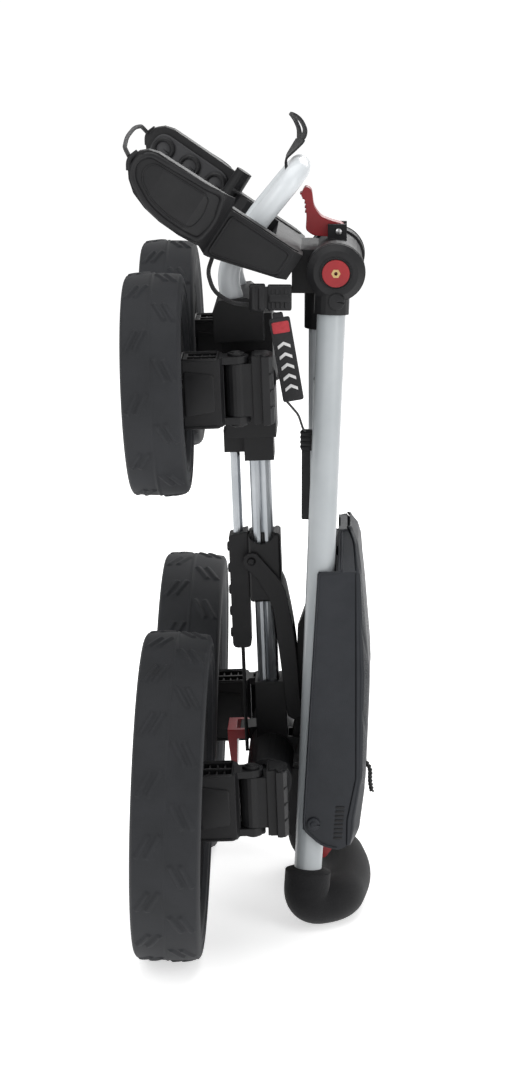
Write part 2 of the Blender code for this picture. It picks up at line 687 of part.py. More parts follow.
def make_foot_bracket():
    """Sleeve at the bottom of the main tube with the lug of the fold pin."""
    made = rod("foot_bracket", FOOT_RADIUS, (MAIN_TUBE_X, 0, 0.176), (MAIN_TUBE_X, 0, 0.246),
               TROLLEY, NYLON, 20)
    fold_x, fold_z = FOLD.x, FOLD.z
    lug = plate("lug", soften([(fold_x - 0.0105, fold_z - 0.0105), (fold_x + 0.010, fold_z - 0.0105),
                               (MAIN_TUBE_X + 0.0120, 0.1800), (MAIN_TUBE_X + 0.0120, 0.2000),
                               (fold_x - 0.0045, 0.1960), (fold_x - 0.0105, fold_z + 0.0105)],
                              [0.009, 0.006, 0.006, 0, 0, 0.009], 3, True),
                -0.0125, 0.0125, "XZ", TROLLEY, NYLON)
    join(made, lug)
    join(made, plate("fin", [(0.0605, 0.2440), (0.0605, 0.3000), (0.0495, 0.3000),
                             (0.0385, 0.2680), (0.0375, 0.1900), (0.0500, 0.1900),
                             (0.0500, 0.2440)], -0.0110, 0.0110, "XZ", TROLLEY, NYLON))
    low_x, low_y, low_z = chassis_point(BRACE_LOW[0], 0, BRACE_LOW[1])
    join(made, rod("brace_seat", 0.0085, (low_x + 0.002, -0.0180, low_z),
                   (low_x + 0.002, 0.0180, low_z), TROLLEY, NYLON, 16))
    cut(made, rod("tube_bore", MAIN_TUBE_RADIUS + GAP, (MAIN_TUBE_X, 0, MAIN_TUBE_LOW - 0.0005),
                  (MAIN_TUBE_X, 0, 0.32), TROLLEY, NYLON, 24))
    cut(made, rod("pin_bore", FOLD_PIN_RADIUS + GAP, (fold_x, -0.03, fold_z),
                  (fold_x, 0.03, fold_z), TROLLEY, NYLON, 14))
    return made


def make_bag_bracket():
    """Wishbone casting: hinge block, two side arms and two flared wings."""
    half = [(0.046, 0.0), (0.046, 0.072), (0.038, 0.080), (-0.030, 0.081), (-0.040, 0.100),
            (-0.058, 0.119), (-0.100, 0.1245), (-0.126, 0.1240), (-0.130, 0.119),
            (-0.130, 0.1125), (-0.126, 0.1105), (-0.040, 0.0975), (-0.033, 0.086),
            (-0.026, 0.062), (-0.018, 0.0560), (0.010, 0.0560), (0.0165, 0.050), (0.0165, 0.0)]
    made = plate("bag_bracket", mirrored(half), -0.0400, 0.0205, "XY", BRACKET, NYLON)
    cut(made, plate("shoulder", [(-0.036, 0.030), (-0.030, 0.0090), (0.06, 0.0090), (0.06, 0.03)],
                    -0.15, 0.15, "XZ", BRACKET, NYLON))
    cut(made, plate("under", [(-0.1600, 0.0), (-0.1310, 0.0), (-0.1275, -0.0061),
                              (-0.1220, -0.0134), (-0.1119, -0.0215), (-0.0965, -0.0272),
                              (-0.0793, -0.0305), (-0.0378, -0.0325), (-0.0290, -0.0388),
                              (-0.0250, -0.0383), (0.0480, -0.0170), (0.0480, -0.0600),
                              (-0.1600, -0.0600)], -0.15, 0.15, "XZ", BRACKET, NYLON))
    cut(made, plate("tip_top", [(-0.1600, 0.0), (-0.1600, 0.0400), (-0.1080, 0.0400),
                                (-0.1120, 0.0204), (-0.1210, 0.0178), (-0.1275, 0.0120),
                                (-0.1302, 0.0040), (-0.1310, 0.0)],
                    -0.15, 0.15, "XZ", BRACKET, NYLON))
    join(made, rod("hub", 0.024, (HINGE_X, -0.0440, HINGE_Z), (HINGE_X, 0.0440, HINGE_Z),
                   TROLLEY, NYLON, 28))
    join(made, box("block", (0.033, -0.0440, 0.594), (0.0680, 0.0440, 0.634), TROLLEY, NYLON))
    join(made, rod("tube_sleeve", 0.0165, (MAIN_TUBE_X, 0, 0.556), (MAIN_TUBE_X, 0, 0.600),
                   TROLLEY, NYLON, 20))
    for side in (-1, 1):
        join(made, box("lever_ear", (0.0655, side * 0.0118 - 0.0025, 0.630),
                       (0.0830, side * 0.0118 + 0.0025, 0.6535), TROLLEY, NYLON))
    join(made, rod("cord_cleat", 0.0090, (-0.0350, 0.0780, -0.0100), (-0.0350, 0.0780, 0.0275),
                   BRACKET, NYLON, 16, 0.0080))
    cut(made, rod("lever_bore", 0.0023, (LEVER[0], -0.03, LEVER[1]), (LEVER[0], 0.03, LEVER[1]),
                  TROLLEY, NYLON, 10))
    cut(made, box("lever_slot", (0.0400, -0.0093, 0.6405), (0.09, 0.0093, 0.67), TROLLEY, NYLON))
    cut(made, rod("tube_bore", MAIN_TUBE_RADIUS + GAP, (MAIN_TUBE_X, 0, 0.50),
                  (MAIN_TUBE_X, 0, MAIN_TUBE_HIGH + 0.0005), TROLLEY, NYLON, 24))
    cut(made, rod("bolt_bore", HINGE_BOLT_RADIUS + GAP, (HINGE_X, -0.06, HINGE_Z),
                  (HINGE_X, 0.06, HINGE_Z), TROLLEY, NYLON, 12))
    return made


def make_pad_strip(name, side):
    """Rubber strip with three round pads on the inner face of one wing."""
    slope = math.atan2(0.1105 - 0.0975, 0.086)
    face = 0.1105 - 0.016 * math.tan(slope)
    lay = (BRACKET @ Matrix.Translation((-0.110, side * face, 0.0))
           @ Matrix.Rotation(-side * slope, 4, "Z"))
    back = -side * (GAP + 0.0002)
    front = -side * 0.0035
    tip = -side * 0.0075
    made = box(name, (-0.012, min(back, front), -0.013), (0.0690, max(back, front), 0.013),
               lay, PAD)
    for step in range(3):
        x = step * 0.0297
        join(made, rod("pad", 0.0108, (x, -side * 0.0015, 0), (x, tip, 0), lay, PAD, 16, 0.0095))
    return made


LEVER = (0.0755, 0.6470)        # pin of the cam lever, X and Z


def make_cam_lever():
    """Red cam lever: round eye, flat base and a hooked blade."""
    x, z = LEVER
    outline = soften([(x + 0.0060, z - 0.0058), (x + 0.0060, z + 0.0058), (x - 0.006, z + 0.0090),
                      (0.0590, 0.6600), (0.0525, 0.6690), (0.0505, 0.6850), (0.0445, 0.6880),
                      (0.0400, 0.6790), (0.0448, 0.6745), (0.0458, 0.6600), (0.0450, 0.6475),
                      (0.0520, 0.6425), (x - 0.004, z - 0.0058)],
                     [0.005, 0.005, 0.002, 0.003, 0.004, 0.003, 0.003, 0.003, 0.002, 0.004,
                      0.003, 0.003, 0.003], 3, True)
    made = plate("cam_lever", outline, -0.0088, 0.0088, "XZ", TROLLEY, RED)
    cut(made, rod("bore", 0.0023, (x, -0.02, z), (x, 0.02, z), TROLLEY, RED, 10))
    return made


def make_lever_pin():
    return rod("lever_pin", 0.0020, (LEVER[0], -0.0150, LEVER[1]), (LEVER[0], 0.0150, LEVER[1]),
               TROLLEY, STEEL, 10)


def make_elastic_cord():
    """Elastic cord between the wing tips, bulging outwards."""
    tip = [(-0.1305 - 0.0022, side * 0.1185, 0.003) for side in (-1, 1)]
    path = [tip[0], (-0.1400, -0.1080, 0.006), (-0.1440, -0.050, 0.008), (-0.1440, 0.050, 0.008),
            (-0.1400, 0.1080, 0.006), tip[1]]
    return sweep("elastic_cord", soften(path, [0, 0.008, 0.03, 0.03, 0.008, 0], 4), 0.0020,
                 BRACKET, WEBBING, 2)


def make_lock_cord():
    """Cord that loops round below the left side arm to the buckle."""
    path = [(-0.0385, -0.0695, 0.6290), (-0.0425, -0.0720, 0.6170), (-0.0370, -0.0780, 0.6000),
            (-0.0200, -0.0845, 0.5905), (-0.0045, -0.0865, 0.5895)]
    return sweep("lock_cord", soften(path, [0, 0.009, 0.012, 0.008, 0], 4), 0.0020,
                 TROLLEY, WEBBING, 2)


def make_buckle():
    return box("cord_buckle", (-0.0040, -0.0915, 0.5840), (0.0335, -0.0815, 0.6080),
               TROLLEY, NYLON, 0.002)


TAB = (TROLLEY @ Matrix.Translation((0.0292, -0.0865, 0.5400))
       @ Matrix.Rotation(math.radians(-10), 4, "Y"))


def make_pull_tab():
    made = box("pull_tab", (-0.0095, -0.0017, -0.0385), (0.0095, 0.0017, 0.0385), TAB, WEBBING)
    join(made, box("loop", (-0.0055, -0.0012, 0.0370), (0.0040, 0.0012, 0.0435), TAB, WEBBING))
    return made


def make_hanging_strap():
    """Toggle and stitched strap hanging beside the left leg."""
    made = box("hanging_strap", (0.0425, -0.0466, 0.3830), (0.0505, -0.0444, 0.4500),
               TROLLEY, WEBBING)
    join(made, box("toggle", (0.0415, -0.0480, 0.4480), (0.0535, -0.0425, 0.4680), TROLLEY, WEBBING))
    join(made, rod("tie", 0.0011, (0.0465, -0.0455, 0.4660), (0.0400, -0.0700, 0.4860), TROLLEY,
                   WEBBING, 8))
    return made


# ------------------------------------------------------------------------ handle
def handle_path(side):
    """One leg from the hinge down to the floor and round to the middle of the grip."""
    top = 0.5935
    low = 0.075
    return [(leg_x(top), side * leg_y(top), top), (leg_x(low), side * leg_y(low), low),
            (0.0480, side * 0.0900, GRIP_Z + 0.0015), (0.0800, side * 0.0710, GRIP_Z),
            (0.0910, 0.0, GRIP_Z)]


def grip_curve(side, first):
    """The smooth part of the handle's path, from a first point to the middle."""
    path = handle_path(side)
    path[0] = first
    full = path + [(x, -y, z) for x, y, z in path[::-1][1:]]
    reach = [0, 0.012, 0.030, 0.026, 0.040, 0.026, 0.030, 0.012, 0]
    return soften(full, reach, 4)


def make_handle_tube():
    first = handle_path(-1)[0]
    return sweep("handle_tube", grip_curve(-1, first), LEG_RADIUS, TROLLEY, WHITE, 4)


def make_foam_grip():
    """Foam sleeve round the bend of the handle."""
    top = 0.058
    first = (leg_x(top), -leg_y(top), top)
    path = handle_path(-1)
    path[0] = first
    path = [path[0]] + path[2:]
    full = path + [(x, -y, z) for x, y, z in path[::-1][1:]]
    reach = [0, 0.028, 0.026, 0.040, 0.026, 0.028, 0]
    outer = sweep("foam_grip", soften(full, reach, 4), GRIP_RADIUS, TROLLEY, FOAM, 4)
    cut(outer, sweep("grip_bore", grip_curve(-1, handle_path(-1)[0]), LEG_RADIUS + GAP,
                     TROLLEY, FOAM, 4))
    return outer


def make_hinge_disc(name, side):
    """Round hinge cheek with a socket for the leg and a recess for the red cap."""
    made = rod(name, HINGE_DISC_RADIUS, (HINGE_X, side * HINGE_DISC_IN, HINGE_Z),
               (HINGE_X, side * HINGE_DISC_OUT, HINGE_Z), TROLLEY, NYLON, 32)
    join(made, rod("dome", HINGE_DISC_RADIUS, (HINGE_X, side * (HINGE_DISC_OUT - 0.0002), HINGE_Z),
                   (HINGE_X, side * (HINGE_DISC_OUT + 0.0045), HINGE_Z), TROLLEY, NYLON, 32,
                   HINGE_DISC_RADIUS - 0.006))
    low = 0.578
    join(made, rod("socket", 0.0160, (leg_x(low), side * leg_y(low), low),
                   (leg_x(0.606), side * leg_y(0.606), 0.606), TROLLEY, NYLON, 20))
    top = handle_path(side)[0]
    deep = Vector(top) + Vector((LEG_SLOPE, -side * 0.04, 1)).normalized() * 0.0006
    under = (leg_x(0.50), side * leg_y(0.50), 0.50)
    cut(made, rod("leg_bore", LEG_RADIUS + 2 * GAP, under, deep, TROLLEY, NYLON, 24))
    cut(made, rod("cap_recess", CAP_RADIUS + GAP, (HINGE_X, side * (HINGE_DISC_OUT - 0.001), HINGE_Z),
                  (HINGE_X, side * 0.10, HINGE_Z), TROLLEY, NYLON, 24))
    cut(made, rod("bolt_bore", HINGE_BOLT_RADIUS + GAP, (HINGE_X, side * 0.03, HINGE_Z),
                  (HINGE_X, side * (HINGE_DISC_OUT - 0.003), HINGE_Z), TROLLEY, NYLON, 12))
    return made


def make_hinge_cap(name, side):
    base = HINGE_DISC_OUT - 0.001 + GAP
    made = rod(name, CAP_RADIUS, (HINGE_X, side * base, HINGE_Z),
               (HINGE_X, side * (base + 0.0058), HINGE_Z), TROLLEY, RED, 24)
    cut(made, rod("socket", 0.0035, (HINGE_X, side * (base + 0.002), HINGE_Z),
                  (HINGE_X, side * (base + 0.02), HINGE_Z), TROLLEY, RED, 6))
    return made


def make_hinge_bolt():
    reach = HINGE_DISC_OUT - 0.0035
    return rod("hinge_bolt", HINGE_BOLT_RADIUS, (HINGE_X, -reach, HINGE_Z),
               (HINGE_X, reach, HINGE_Z), TROLLEY, STEEL, 12)


# ----------------------------------------------------------------------- console
def leg_half(z):
    """Half the console's width at a height beside the legs."""
    return leg_y(z) + LEG_RADIUS + 0.0035


def console_half(z):
    """As leg_half, but narrowing to the top above the shoulder."""
    share = max(0.0, z - CONSOLE_SHOULDER) / (CONSOLE_HIGH - CONSOLE_SHOULDER)
    return leg_half(z) + (CONSOLE_TOP_HALF - leg_half(z)) * share


def tapered(name, outline, wall, look, half_at=console_half):
    """An XZ outline whose half width follows the legs, less a wall."""
    made = plate(name, outline, -1.0, 1.0, "XZ", TROLLEY, look)
    for vertex in made.data.vertices:
        vertex.co.y *= half_at(vertex.co.z) - wall
    return made


def make_console_tray():
    """Open tray between the legs with cheeks that cover their outer sides."""
    back_low = leg_x(CONSOLE_LOW) + LEG_RADIUS + 0.0012
    shoulder = CONSOLE_SHOULDER
    back_high = leg_x(0.40) + LEG_RADIUS + 0.0012
    top_back = leg_x(shoulder) + LEG_RADIUS + 0.0030
    made = tapered("console_tray", [
        (leg_x(shoulder) - 0.002, shoulder), (leg_x(0.10) - 0.007, 0.10),
        (leg_x(0.10) + 0.012, CONSOLE_LOW + 0.004), (LID_HINGE_X - 0.009, CONSOLE_LOW),
        (LID_HINGE_X - 0.0010, CONSOLE_LOW + 0.0030), (LID_HINGE_X - 0.0003, 0.110),
        (0.0950, 0.150), (0.0937, shoulder)], 0.0, CONSOLE)
    join(made, tapered("console_top", [
        (top_back, shoulder), (0.0937, shoulder), (0.0915, 0.362),
        (0.0850, CONSOLE_HIGH), (top_back, CONSOLE_HIGH)], 0.0, CONSOLE))
    cut(made, tapered("leg_space", [(0.0, 0.0), (back_low, 0.0), (back_low, CONSOLE_LOW),
                                    (back_high, 0.40), (0.0, 0.40)],
                      CONSOLE_WALL, CONSOLE, leg_half))
    channel = MAIN_TUBE_X + FOOT_RADIUS + 0.0012
    cut(made, box("tube_channel", (0.0, -FOOT_RADIUS - 0.002, 0.0),
                  (channel, FOOT_RADIUS + 0.002, 0.45), TROLLEY, CONSOLE))
    cut(made, box("store", (channel + CONSOLE_WALL, -0.072, 0.118), (0.12, 0.072, 0.336),
                  TROLLEY, CONSOLE))
    return made


def make_console_lid():
    """Faceted cover, hinged along its lower edge."""
    gap = 0.0006
    shoulder = CONSOLE_SHOULDER
    made = tapered("console_lid", [
        (LID_HINGE_X + gap, 0.109), (0.0950 + gap, 0.1495), (0.0937 + gap, shoulder),
        (0.0990, shoulder), (0.1075, 0.2450), (0.1035, 0.1350), (0.0985, 0.0960),
        (0.0935, 0.0862), (LID_HINGE_X + gap, 0.0848)], -0.0004, CONSOLE)
    join(made, tapered("lid_top", [
        (0.0937 + gap, shoulder), (0.0915 + gap, 0.3622), (0.0850 + gap, CONSOLE_HIGH + gap),
        (0.0895, 0.3735), (0.0955, 0.3610), (0.0990, shoulder)], -0.0004, CONSOLE))
    for vertex in made.data.vertices:
        if vertex.co.x > 0.0955:
            vertex.co.y *= 0.86
    cut(made, tapered("hollow", [(0.080, 0.118), (0.0985, 0.118), (0.1005, 0.137),
                                 (0.1043, 0.245), (0.0972, 0.336), (0.080, 0.336)],
                      0.019, CONSOLE))
    cut(made, box("finger_notch", (0.0830, -0.020, 0.3650), (0.0890, 0.020, 0.39),
                  TROLLEY, CONSOLE))
    return made


BRAKE_LEVER = (0.0690, 0.0735)


def make_brake_lever():
    """Small red lever between the left leg and the grip, below the tray."""
    x, z = BRAKE_LEVER
    outline = soften([(x - 0.0100, z - 0.013), (x - 0.0030, z - 0.014), (x + 0.0045, z - 0.0030),
                      (x + 0.0045, z + 0.0045), (x - 0.0045, z + 0.0045),
                      (x - 0.0060, z - 0.0040)], [0.002, 0.003, 0.003, 0.003, 0.003, 0.003],
                     2, True)
    return plate("brake_lever", outline, -0.066, -0.040, "XZ", TROLLEY, RED)


# ------------------------------------------------------------------------- pedal
PEDAL = (-0.0265, 0.0135)       # hinge from the rail's axis, and above the cross tube


def make_brake_pedal():
    """Red foot pedal hung on the rear housing's lug."""
    cross_z = wheel_sizes(False)[3] - ARM_DROP
    x = PEDAL[0]
    z = cross_z + PEDAL[1]
    made = plate("brake_pedal", [(x - 0.0155, z + 0.004), (x - 0.0070, z + 0.004),
                                 (x - 0.0065, z - 0.010), (x - 0.0080, z - 0.040),
                                 (x - 0.0120, z - 0.042), (x - 0.0155, z - 0.004)],
                 0.009, 0.051, "XZ", CHASSIS, RED)
    for low in (0.0090, 0.0453):
        join(made, plate("cheek", soften([(x - 0.010, z - 0.0050), (x + 0.005, z - 0.0050),
                                          (x + 0.005, z + 0.004), (x - 0.010, z + 0.004)],
                                         [0, 0.003, 0.003, 0], 2, True),
                         low, low + 0.0057, "XZ", CHASSIS, RED))
    return made


# ---------------------------------------------------------------------- assembly
def build():
    chassis = body("chassis", (0, 0, 0))
    pieces = [make_rail(), make_front_housing(), make_rear_housing(),
              make_cross_tube("front_cross_tube", True), make_cross_tube("rear_cross_tube", False),
              make_loop(), make_loop_strap(), make_fold_pin()]
    attach(chassis, *pieces)
    for front in (True, False):
        for side, hand in ((-1, "left"), (1, "right")):
            name = ("front_" if front else "rear_") + hand
            arm, axle, hinge_pin, knuckle = make_arm(name, front, side)
            tyre, rim = make_wheel(name, front, side)
            spacing, height = wheel_sizes(front)[2:4]
            pin = chassis_point(PIN_X, side * spacing, height)
            swing = body("swing_" + name, pin)
            wheel = body("wheel_" + name, chassis_point(WHEEL_X, side * spacing, height))
            attach(chassis, hinge_pin, knuckle, swing)
            attach(swing, arm, axle, wheel)
            attach(wheel, tyre, rim)

    travel = body("slide", chassis_point(0, 0, SLIDER_LOW))
    slider = make_slider()
    make_brace_screw(slider)
    attach(chassis, travel)
    attach(travel, slider, make_strip_housing(), make_push_tube(), make_push_rod())
    brace = body("brace", chassis_point(BRACE_TOP[0], 0, BRACE_TOP[1]))
    attach(travel, brace)
    attach(brace, make_brace())

    upright = body("upright", FOLD)
    attach(chassis, upright)
    attach(upright, make_main_tube(), make_foot_bracket(), make_bag_bracket(),
           make_pad_strip("pad_strip_left", -1), make_pad_strip("pad_strip_right", 1),
           make_elastic_cord(), make_lock_cord(), make_buckle(), make_pull_tab(),
           make_hanging_strap(), make_lever_pin())
    cam = body("cam", (LEVER[0], 0, LEVER[1]))
    attach(upright, cam)
    attach(cam, make_cam_lever())

    handle = body("handle", HINGE)
    attach(upright, handle)
    attach(handle, make_handle_tube(), make_foam_grip(), make_hinge_disc("hinge_disc_left", -1),
           make_hinge_disc("hinge_disc_right", 1), make_hinge_cap("hinge_cap_left", -1),
           make_hinge_cap("hinge_cap_right", 1), make_hinge_bolt(), make_console_tray())
    lid = body("lid", (LID_HINGE_X, 0, LID_HINGE_Z))
    lever = body("brake", (BRAKE_LEVER[0], -0.053, BRAKE_LEVER[1]))
    attach(handle, lid, lever)
    attach(lid, make_console_lid())
    attach(lever, make_brake_lever())

    cross_z = wheel_sizes(False)[3] - ARM_DROP
    pedal = body("pedal", chassis_point(PEDAL[0], 0.03, cross_z + PEDAL[1]))
    attach(chassis, pedal)
    attach(pedal, make_brake_pedal())


build()
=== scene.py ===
"""Golf push trolley, folded flat and standing on end: finishes and detail."""
import json
import math

import bmesh
import bpy
import numpy as np
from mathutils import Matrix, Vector


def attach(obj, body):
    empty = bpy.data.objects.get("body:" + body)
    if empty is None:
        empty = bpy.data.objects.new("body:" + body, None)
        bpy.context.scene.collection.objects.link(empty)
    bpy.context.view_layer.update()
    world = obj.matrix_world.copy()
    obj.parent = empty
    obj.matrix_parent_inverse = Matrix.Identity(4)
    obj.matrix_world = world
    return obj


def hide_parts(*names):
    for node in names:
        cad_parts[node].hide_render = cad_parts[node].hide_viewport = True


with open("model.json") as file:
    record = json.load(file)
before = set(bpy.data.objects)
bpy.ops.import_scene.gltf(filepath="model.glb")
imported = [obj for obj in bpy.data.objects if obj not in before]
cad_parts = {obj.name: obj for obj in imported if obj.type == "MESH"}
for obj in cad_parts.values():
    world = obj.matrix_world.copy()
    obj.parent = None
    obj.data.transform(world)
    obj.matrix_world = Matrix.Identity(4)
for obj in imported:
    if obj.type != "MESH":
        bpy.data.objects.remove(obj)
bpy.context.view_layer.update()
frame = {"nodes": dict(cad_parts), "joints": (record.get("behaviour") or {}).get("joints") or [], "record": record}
NODES = frame["nodes"]
JOINTS = {joint["name"]: joint for joint in frame["joints"]}
FINISHES = {row["node"]: row["material_slot"] for row in frame["record"]["subparts"]}

LEAN = math.radians(2.2)        # of the chassis towards -X
BRACKET_ANGLE = math.radians(33.4)


# ------------------------------------------------------------------------ frames
def shift(x, y, z):
    """Matrix that moves by (x, y, z)."""
    made = np.eye(4)
    made[:3, 3] = x, y, z
    return made


def turn(axis, angle):
    """Matrix that turns by angle about axis 0, 1 or 2."""
    made = np.eye(4)
    a, b = (axis + 1) % 3, (axis + 2) % 3
    made[a, a] = made[b, b] = math.cos(angle)
    made[b, a] = math.sin(angle)
    made[a, b] = -math.sin(angle)
    return made


def placed(points, matrix):
    """Points carried by a matrix: rotation times each point, plus the shift."""
    return points @ matrix[:3, :3].T + matrix[:3, 3]


TROLLEY = shift(0.00413, 0, 0)
CHASSIS = TROLLEY @ shift(0.0193, 0, 0) @ turn(1, -LEAN)
BRACKET = TROLLEY @ shift(0, 0, 0.650) @ turn(1, BRACKET_ANGLE)
HINGE = np.array(JOINTS["handle_fold"]["pos_m"])
CAM_PIN = np.array(JOINTS["cam_lever_throw"]["pos_m"])
SIDES = ((-1, "left"), (1, "right"))


def along(axis, centre):
    """Frame whose X runs along an axis in the XZ plane, at a centre."""
    made = np.eye(4)
    x = np.array(axis, float) / np.linalg.norm(axis)
    y = np.array([0.0, 1.0, 0.0])
    made[:3, 0], made[:3, 1], made[:3, 2] = x, y, np.cross(x, y)
    made[:3, 3] = centre
    return made


# ------------------------------------------------------------------------ shapes
def rounded(points, reach, steps=4, closed=True):
    """Corners replaced by quadratic arcs: (1-t)^2 a + 2t(1-t) corner + t^2 b, where a and b
    lie reach away from the corner on its two edges."""
    corner = np.array(points, float)
    reach = np.broadcast_to(np.array(reach, float), len(corner)).copy()
    back = np.roll(corner, 1, 0) - corner
    ahead = np.roll(corner, -1, 0) - corner
    back_len = np.maximum(np.linalg.norm(back, axis=1), 1e-9)
    ahead_len = np.maximum(np.linalg.norm(ahead, axis=1), 1e-9)
    if not closed:
        reach[0] = reach[-1] = 0
    limit = np.minimum(reach, 0.48 * np.minimum(back_len, ahead_len))
    if not closed:
        limit[0] = limit[-1] = 0
    a = corner + back * (limit / back_len)[:, None]
    b = corner + ahead * (limit / ahead_len)[:, None]
    t = np.linspace(0, 1, steps + 1)[None, :, None]
    arcs = ((1 - t) ** 2 * a[:, None] + 2 * t * (1 - t) * corner[:, None] + t ** 2 * b[:, None])
    flat = arcs.reshape(-1, corner.shape[1])
    keep = np.ones(len(flat), bool)
    keep[1:] = np.linalg.norm(np.diff(flat, axis=0), axis=1) > 1e-7
    return flat[keep]


def resampled(path, count):
    """The path at count points evenly spaced by arc length, by linear interpolation."""
    path = np.array(path, float)
    length = np.r_[0, np.cumsum(np.linalg.norm(np.diff(path, axis=0), axis=1))]
    at = np.linspace(0, length[-1], count)
    return np.stack([np.interp(at, length, path[:, k]) for k in range(path.shape[1])], 1)


def inset(outline, distance):
    """A closed outline moved inwards along the mean of its two edge normals."""
    ahead = np.roll(outline, -1, 0) - outline
    ahead /= np.maximum(np.linalg.norm(ahead, axis=1, keepdims=True), 1e-9)
    mean = ahead + np.roll(ahead, 1, 0)
    mean /= np.maximum(np.linalg.norm(mean, axis=1, keepdims=True), 1e-9)
    normal = np.stack([-mean[:, 1], mean[:, 0]], 1)
    area = np.sum(outline[:, 0] * np.roll(outline[:, 1], -1)
                  - outline[:, 1] * np.roll(outline[:, 0], -1))
    return outline + normal * distance * (1 if area > 0 else -1)


PLANES = {"XZ": (0, 2, 1), "XY": (0, 1, 2), "YZ": (1, 2, 0)}


def prism(outline, low, high, edge=0.0008, plane="XZ", steps=3):
    """Outline pushed from low to high, its edges rounded by quarter circles: at angle f the
    outline is inset by edge (1 - cos f) and stands edge (1 - sin f) inside the end."""
    outline = np.array(outline, float)
    f = np.linspace(0, math.pi / 2, steps + 1)
    grow = np.r_[edge * (1 - np.cos(f[::-1])), edge * (1 - np.cos(f))]
    depth = np.r_[low + edge * (1 - np.sin(f[::-1])), high - edge * (1 - np.sin(f))]
    rows = np.stack([inset(outline, g) for g in grow])
    a, b, c = PLANES[plane]
    made = np.zeros((*rows.shape[:2], 3))
    made[..., a], made[..., b] = rows[..., 0], rows[..., 1]
    made[..., c] = depth[:, None]
    return made


def block(low, high, edge=0.0008, steps=3):
    """Box with rounded edges: a rounded prism on a rectangle with rounded corners."""
    (x0, y0, z0), (x1, y1, z1) = low, high
    outline = rounded([(x0, y0), (x1, y0), (x1, y1), (x0, y1)], edge, steps)
    return prism(outline, z0, z1, edge, "XY", steps)


def turned(profile, sides):
    """Profile of (x, r) pairs turned about X: (x, r cos t, r sin t)."""
    profile = np.array(profile, float)
    t = np.linspace(0, 2 * math.pi, sides, endpoint=False)[:, None]
    x = np.broadcast_to(profile[None, :, 0], (sides, len(profile)))
    return np.stack([x, profile[None, :, 1] * np.cos(t), profile[None, :, 1] * np.sin(t)], -1)


def swept(path, section, across=(0, 1, 0)):
    """Section (a, b) carried along a path: p + a side + b normal, where side is across made
    square to the tangent and normal = tangent x side."""
    path = np.array(path, float)
    tangent = np.gradient(path, axis=0)
    tangent /= np.linalg.norm(tangent, axis=1, keepdims=True)
    across = np.array(across, float)
    side = across - tangent * (tangent @ across)[:, None]
    side /= np.linalg.norm(side, axis=1, keepdims=True)
    normal = np.cross(tangent, side)
    section = np.array(section, float)
    if section.ndim == 2:
        section = np.broadcast_to(section, (len(path), *section.shape))
    return (path[:, None] + section[..., :1] * side[:, None]
            + section[..., 1:2] * normal[:, None])


def circle(radius, count=16):
    """Points (r cos t, r sin t)."""
    t = np.linspace(0, 2 * math.pi, count, endpoint=False)
    return np.stack([radius * np.cos(t), radius * np.sin(t)], 1)


def domed(radius, height, edge=0.0008, rise=0.0004):
    """Profile of a round button along X: flat back, rounded rim and a slight dome."""
    return [(0, 1e-5), (0, radius), (height - edge, radius),
            (height - edge * 0.3, radius - edge * 0.3),
            (height, radius - edge), (height + rise * 0.7, radius * 0.5), (height + rise, 1e-5)]


# ------------------------------------------------------------------------ meshes
def net(rows, columns, wrap_rows, first=0):
    """Quads of a grid whose columns wrap round, and rows too where asked, with grid UVs."""
    i = np.arange(rows if wrap_rows else rows - 1)[:, None]
    j = np.arange(columns)[None, :]
    up = (i + 1) % rows
    right = (j + 1) % columns
    quads = np.stack([i * columns + j, up * columns + j, up * columns + right,
                      i * columns + right], -1).reshape(-1, 4) + first
    a, b = np.broadcast_arrays(i, j)
    corners = np.stack([np.stack([a, b], -1), np.stack([a + 1, b], -1),
                        np.stack([a + 1, b + 1], -1), np.stack([a, b + 1], -1)], 2)
    return quads, corners.reshape(-1, 4, 2).astype(float)


def make(name, shells, look, body, replaces=(), ring=False, angle=35, uv=(1, 1)):
    """One piece from closed shells. Each shell is a grid of points whose columns wrap; its rows
    wrap too in a ring, and otherwise each end is closed by one face."""
    points, faces, texture = [], [], []
    first = 0
    for shell in shells:
        rows, columns = shell.shape[:2]
        quads, corners = net(rows, columns, ring, first)
        points.append(shell.reshape(-1, 3))
        faces += quads.tolist()
        scaled = corners * (uv[0] / max(rows - 1, 1), uv[1] / columns)
        texture.append(scaled.reshape(-1, 2))
        if not ring:
            start = first + np.arange(columns)
            faces.append(start.tolist())
            faces.append((start + (rows - 1) * columns)[::-1].tolist())
            texture.append(np.zeros((2 * columns, 2)))
        first += rows * columns
    mesh = bpy.data.meshes.new(name)
    mesh.from_pydata(np.concatenate(points).tolist(), [], faces)
    layer = mesh.uv_layers.new(name="UVMap")
    layer.data.foreach_set("uv", np.concatenate(texture).ravel())
    edit = bmesh.new()
    edit.from_mesh(mesh)
    bmesh.ops.remove_doubles(edit, verts=edit.verts, dist=2e-6)
    bmesh.ops.dissolve_degenerate(edit, edges=edit.edges, dist=1e-7)
    bmesh.ops.recalc_face_normals(edit, faces=edit.faces)
    edit.to_mesh(mesh)
    edit.free()
    mesh.shade_smooth()
    mesh.set_sharp_from_angle(angle=math.radians(angle))
    made = bpy.data.objects.new(name, mesh)
    bpy.context.scene.collection.objects.link(made)
    mesh.materials.append(look)
    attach(made, body)
    if replaces:
        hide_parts(*replaces)
    return made


# --------------------------------------------------------------------- materials
def nodes_of(name):
    """A new material, its node adder and its linker."""
    made = bpy.data.materials.new(name)
    made.use_nodes = True
    tree = made.node_tree
    shader = tree.nodes["Principled BSDF"]

    def node(kind, **values):
        fresh = tree.nodes.new(kind)
        for key, value in values.items():
            if key in fresh.inputs:
                fresh.inputs[key].default_value = value
            else:
                setattr(fresh, key, value)
        return fresh

    return made, shader, node, tree.links.new


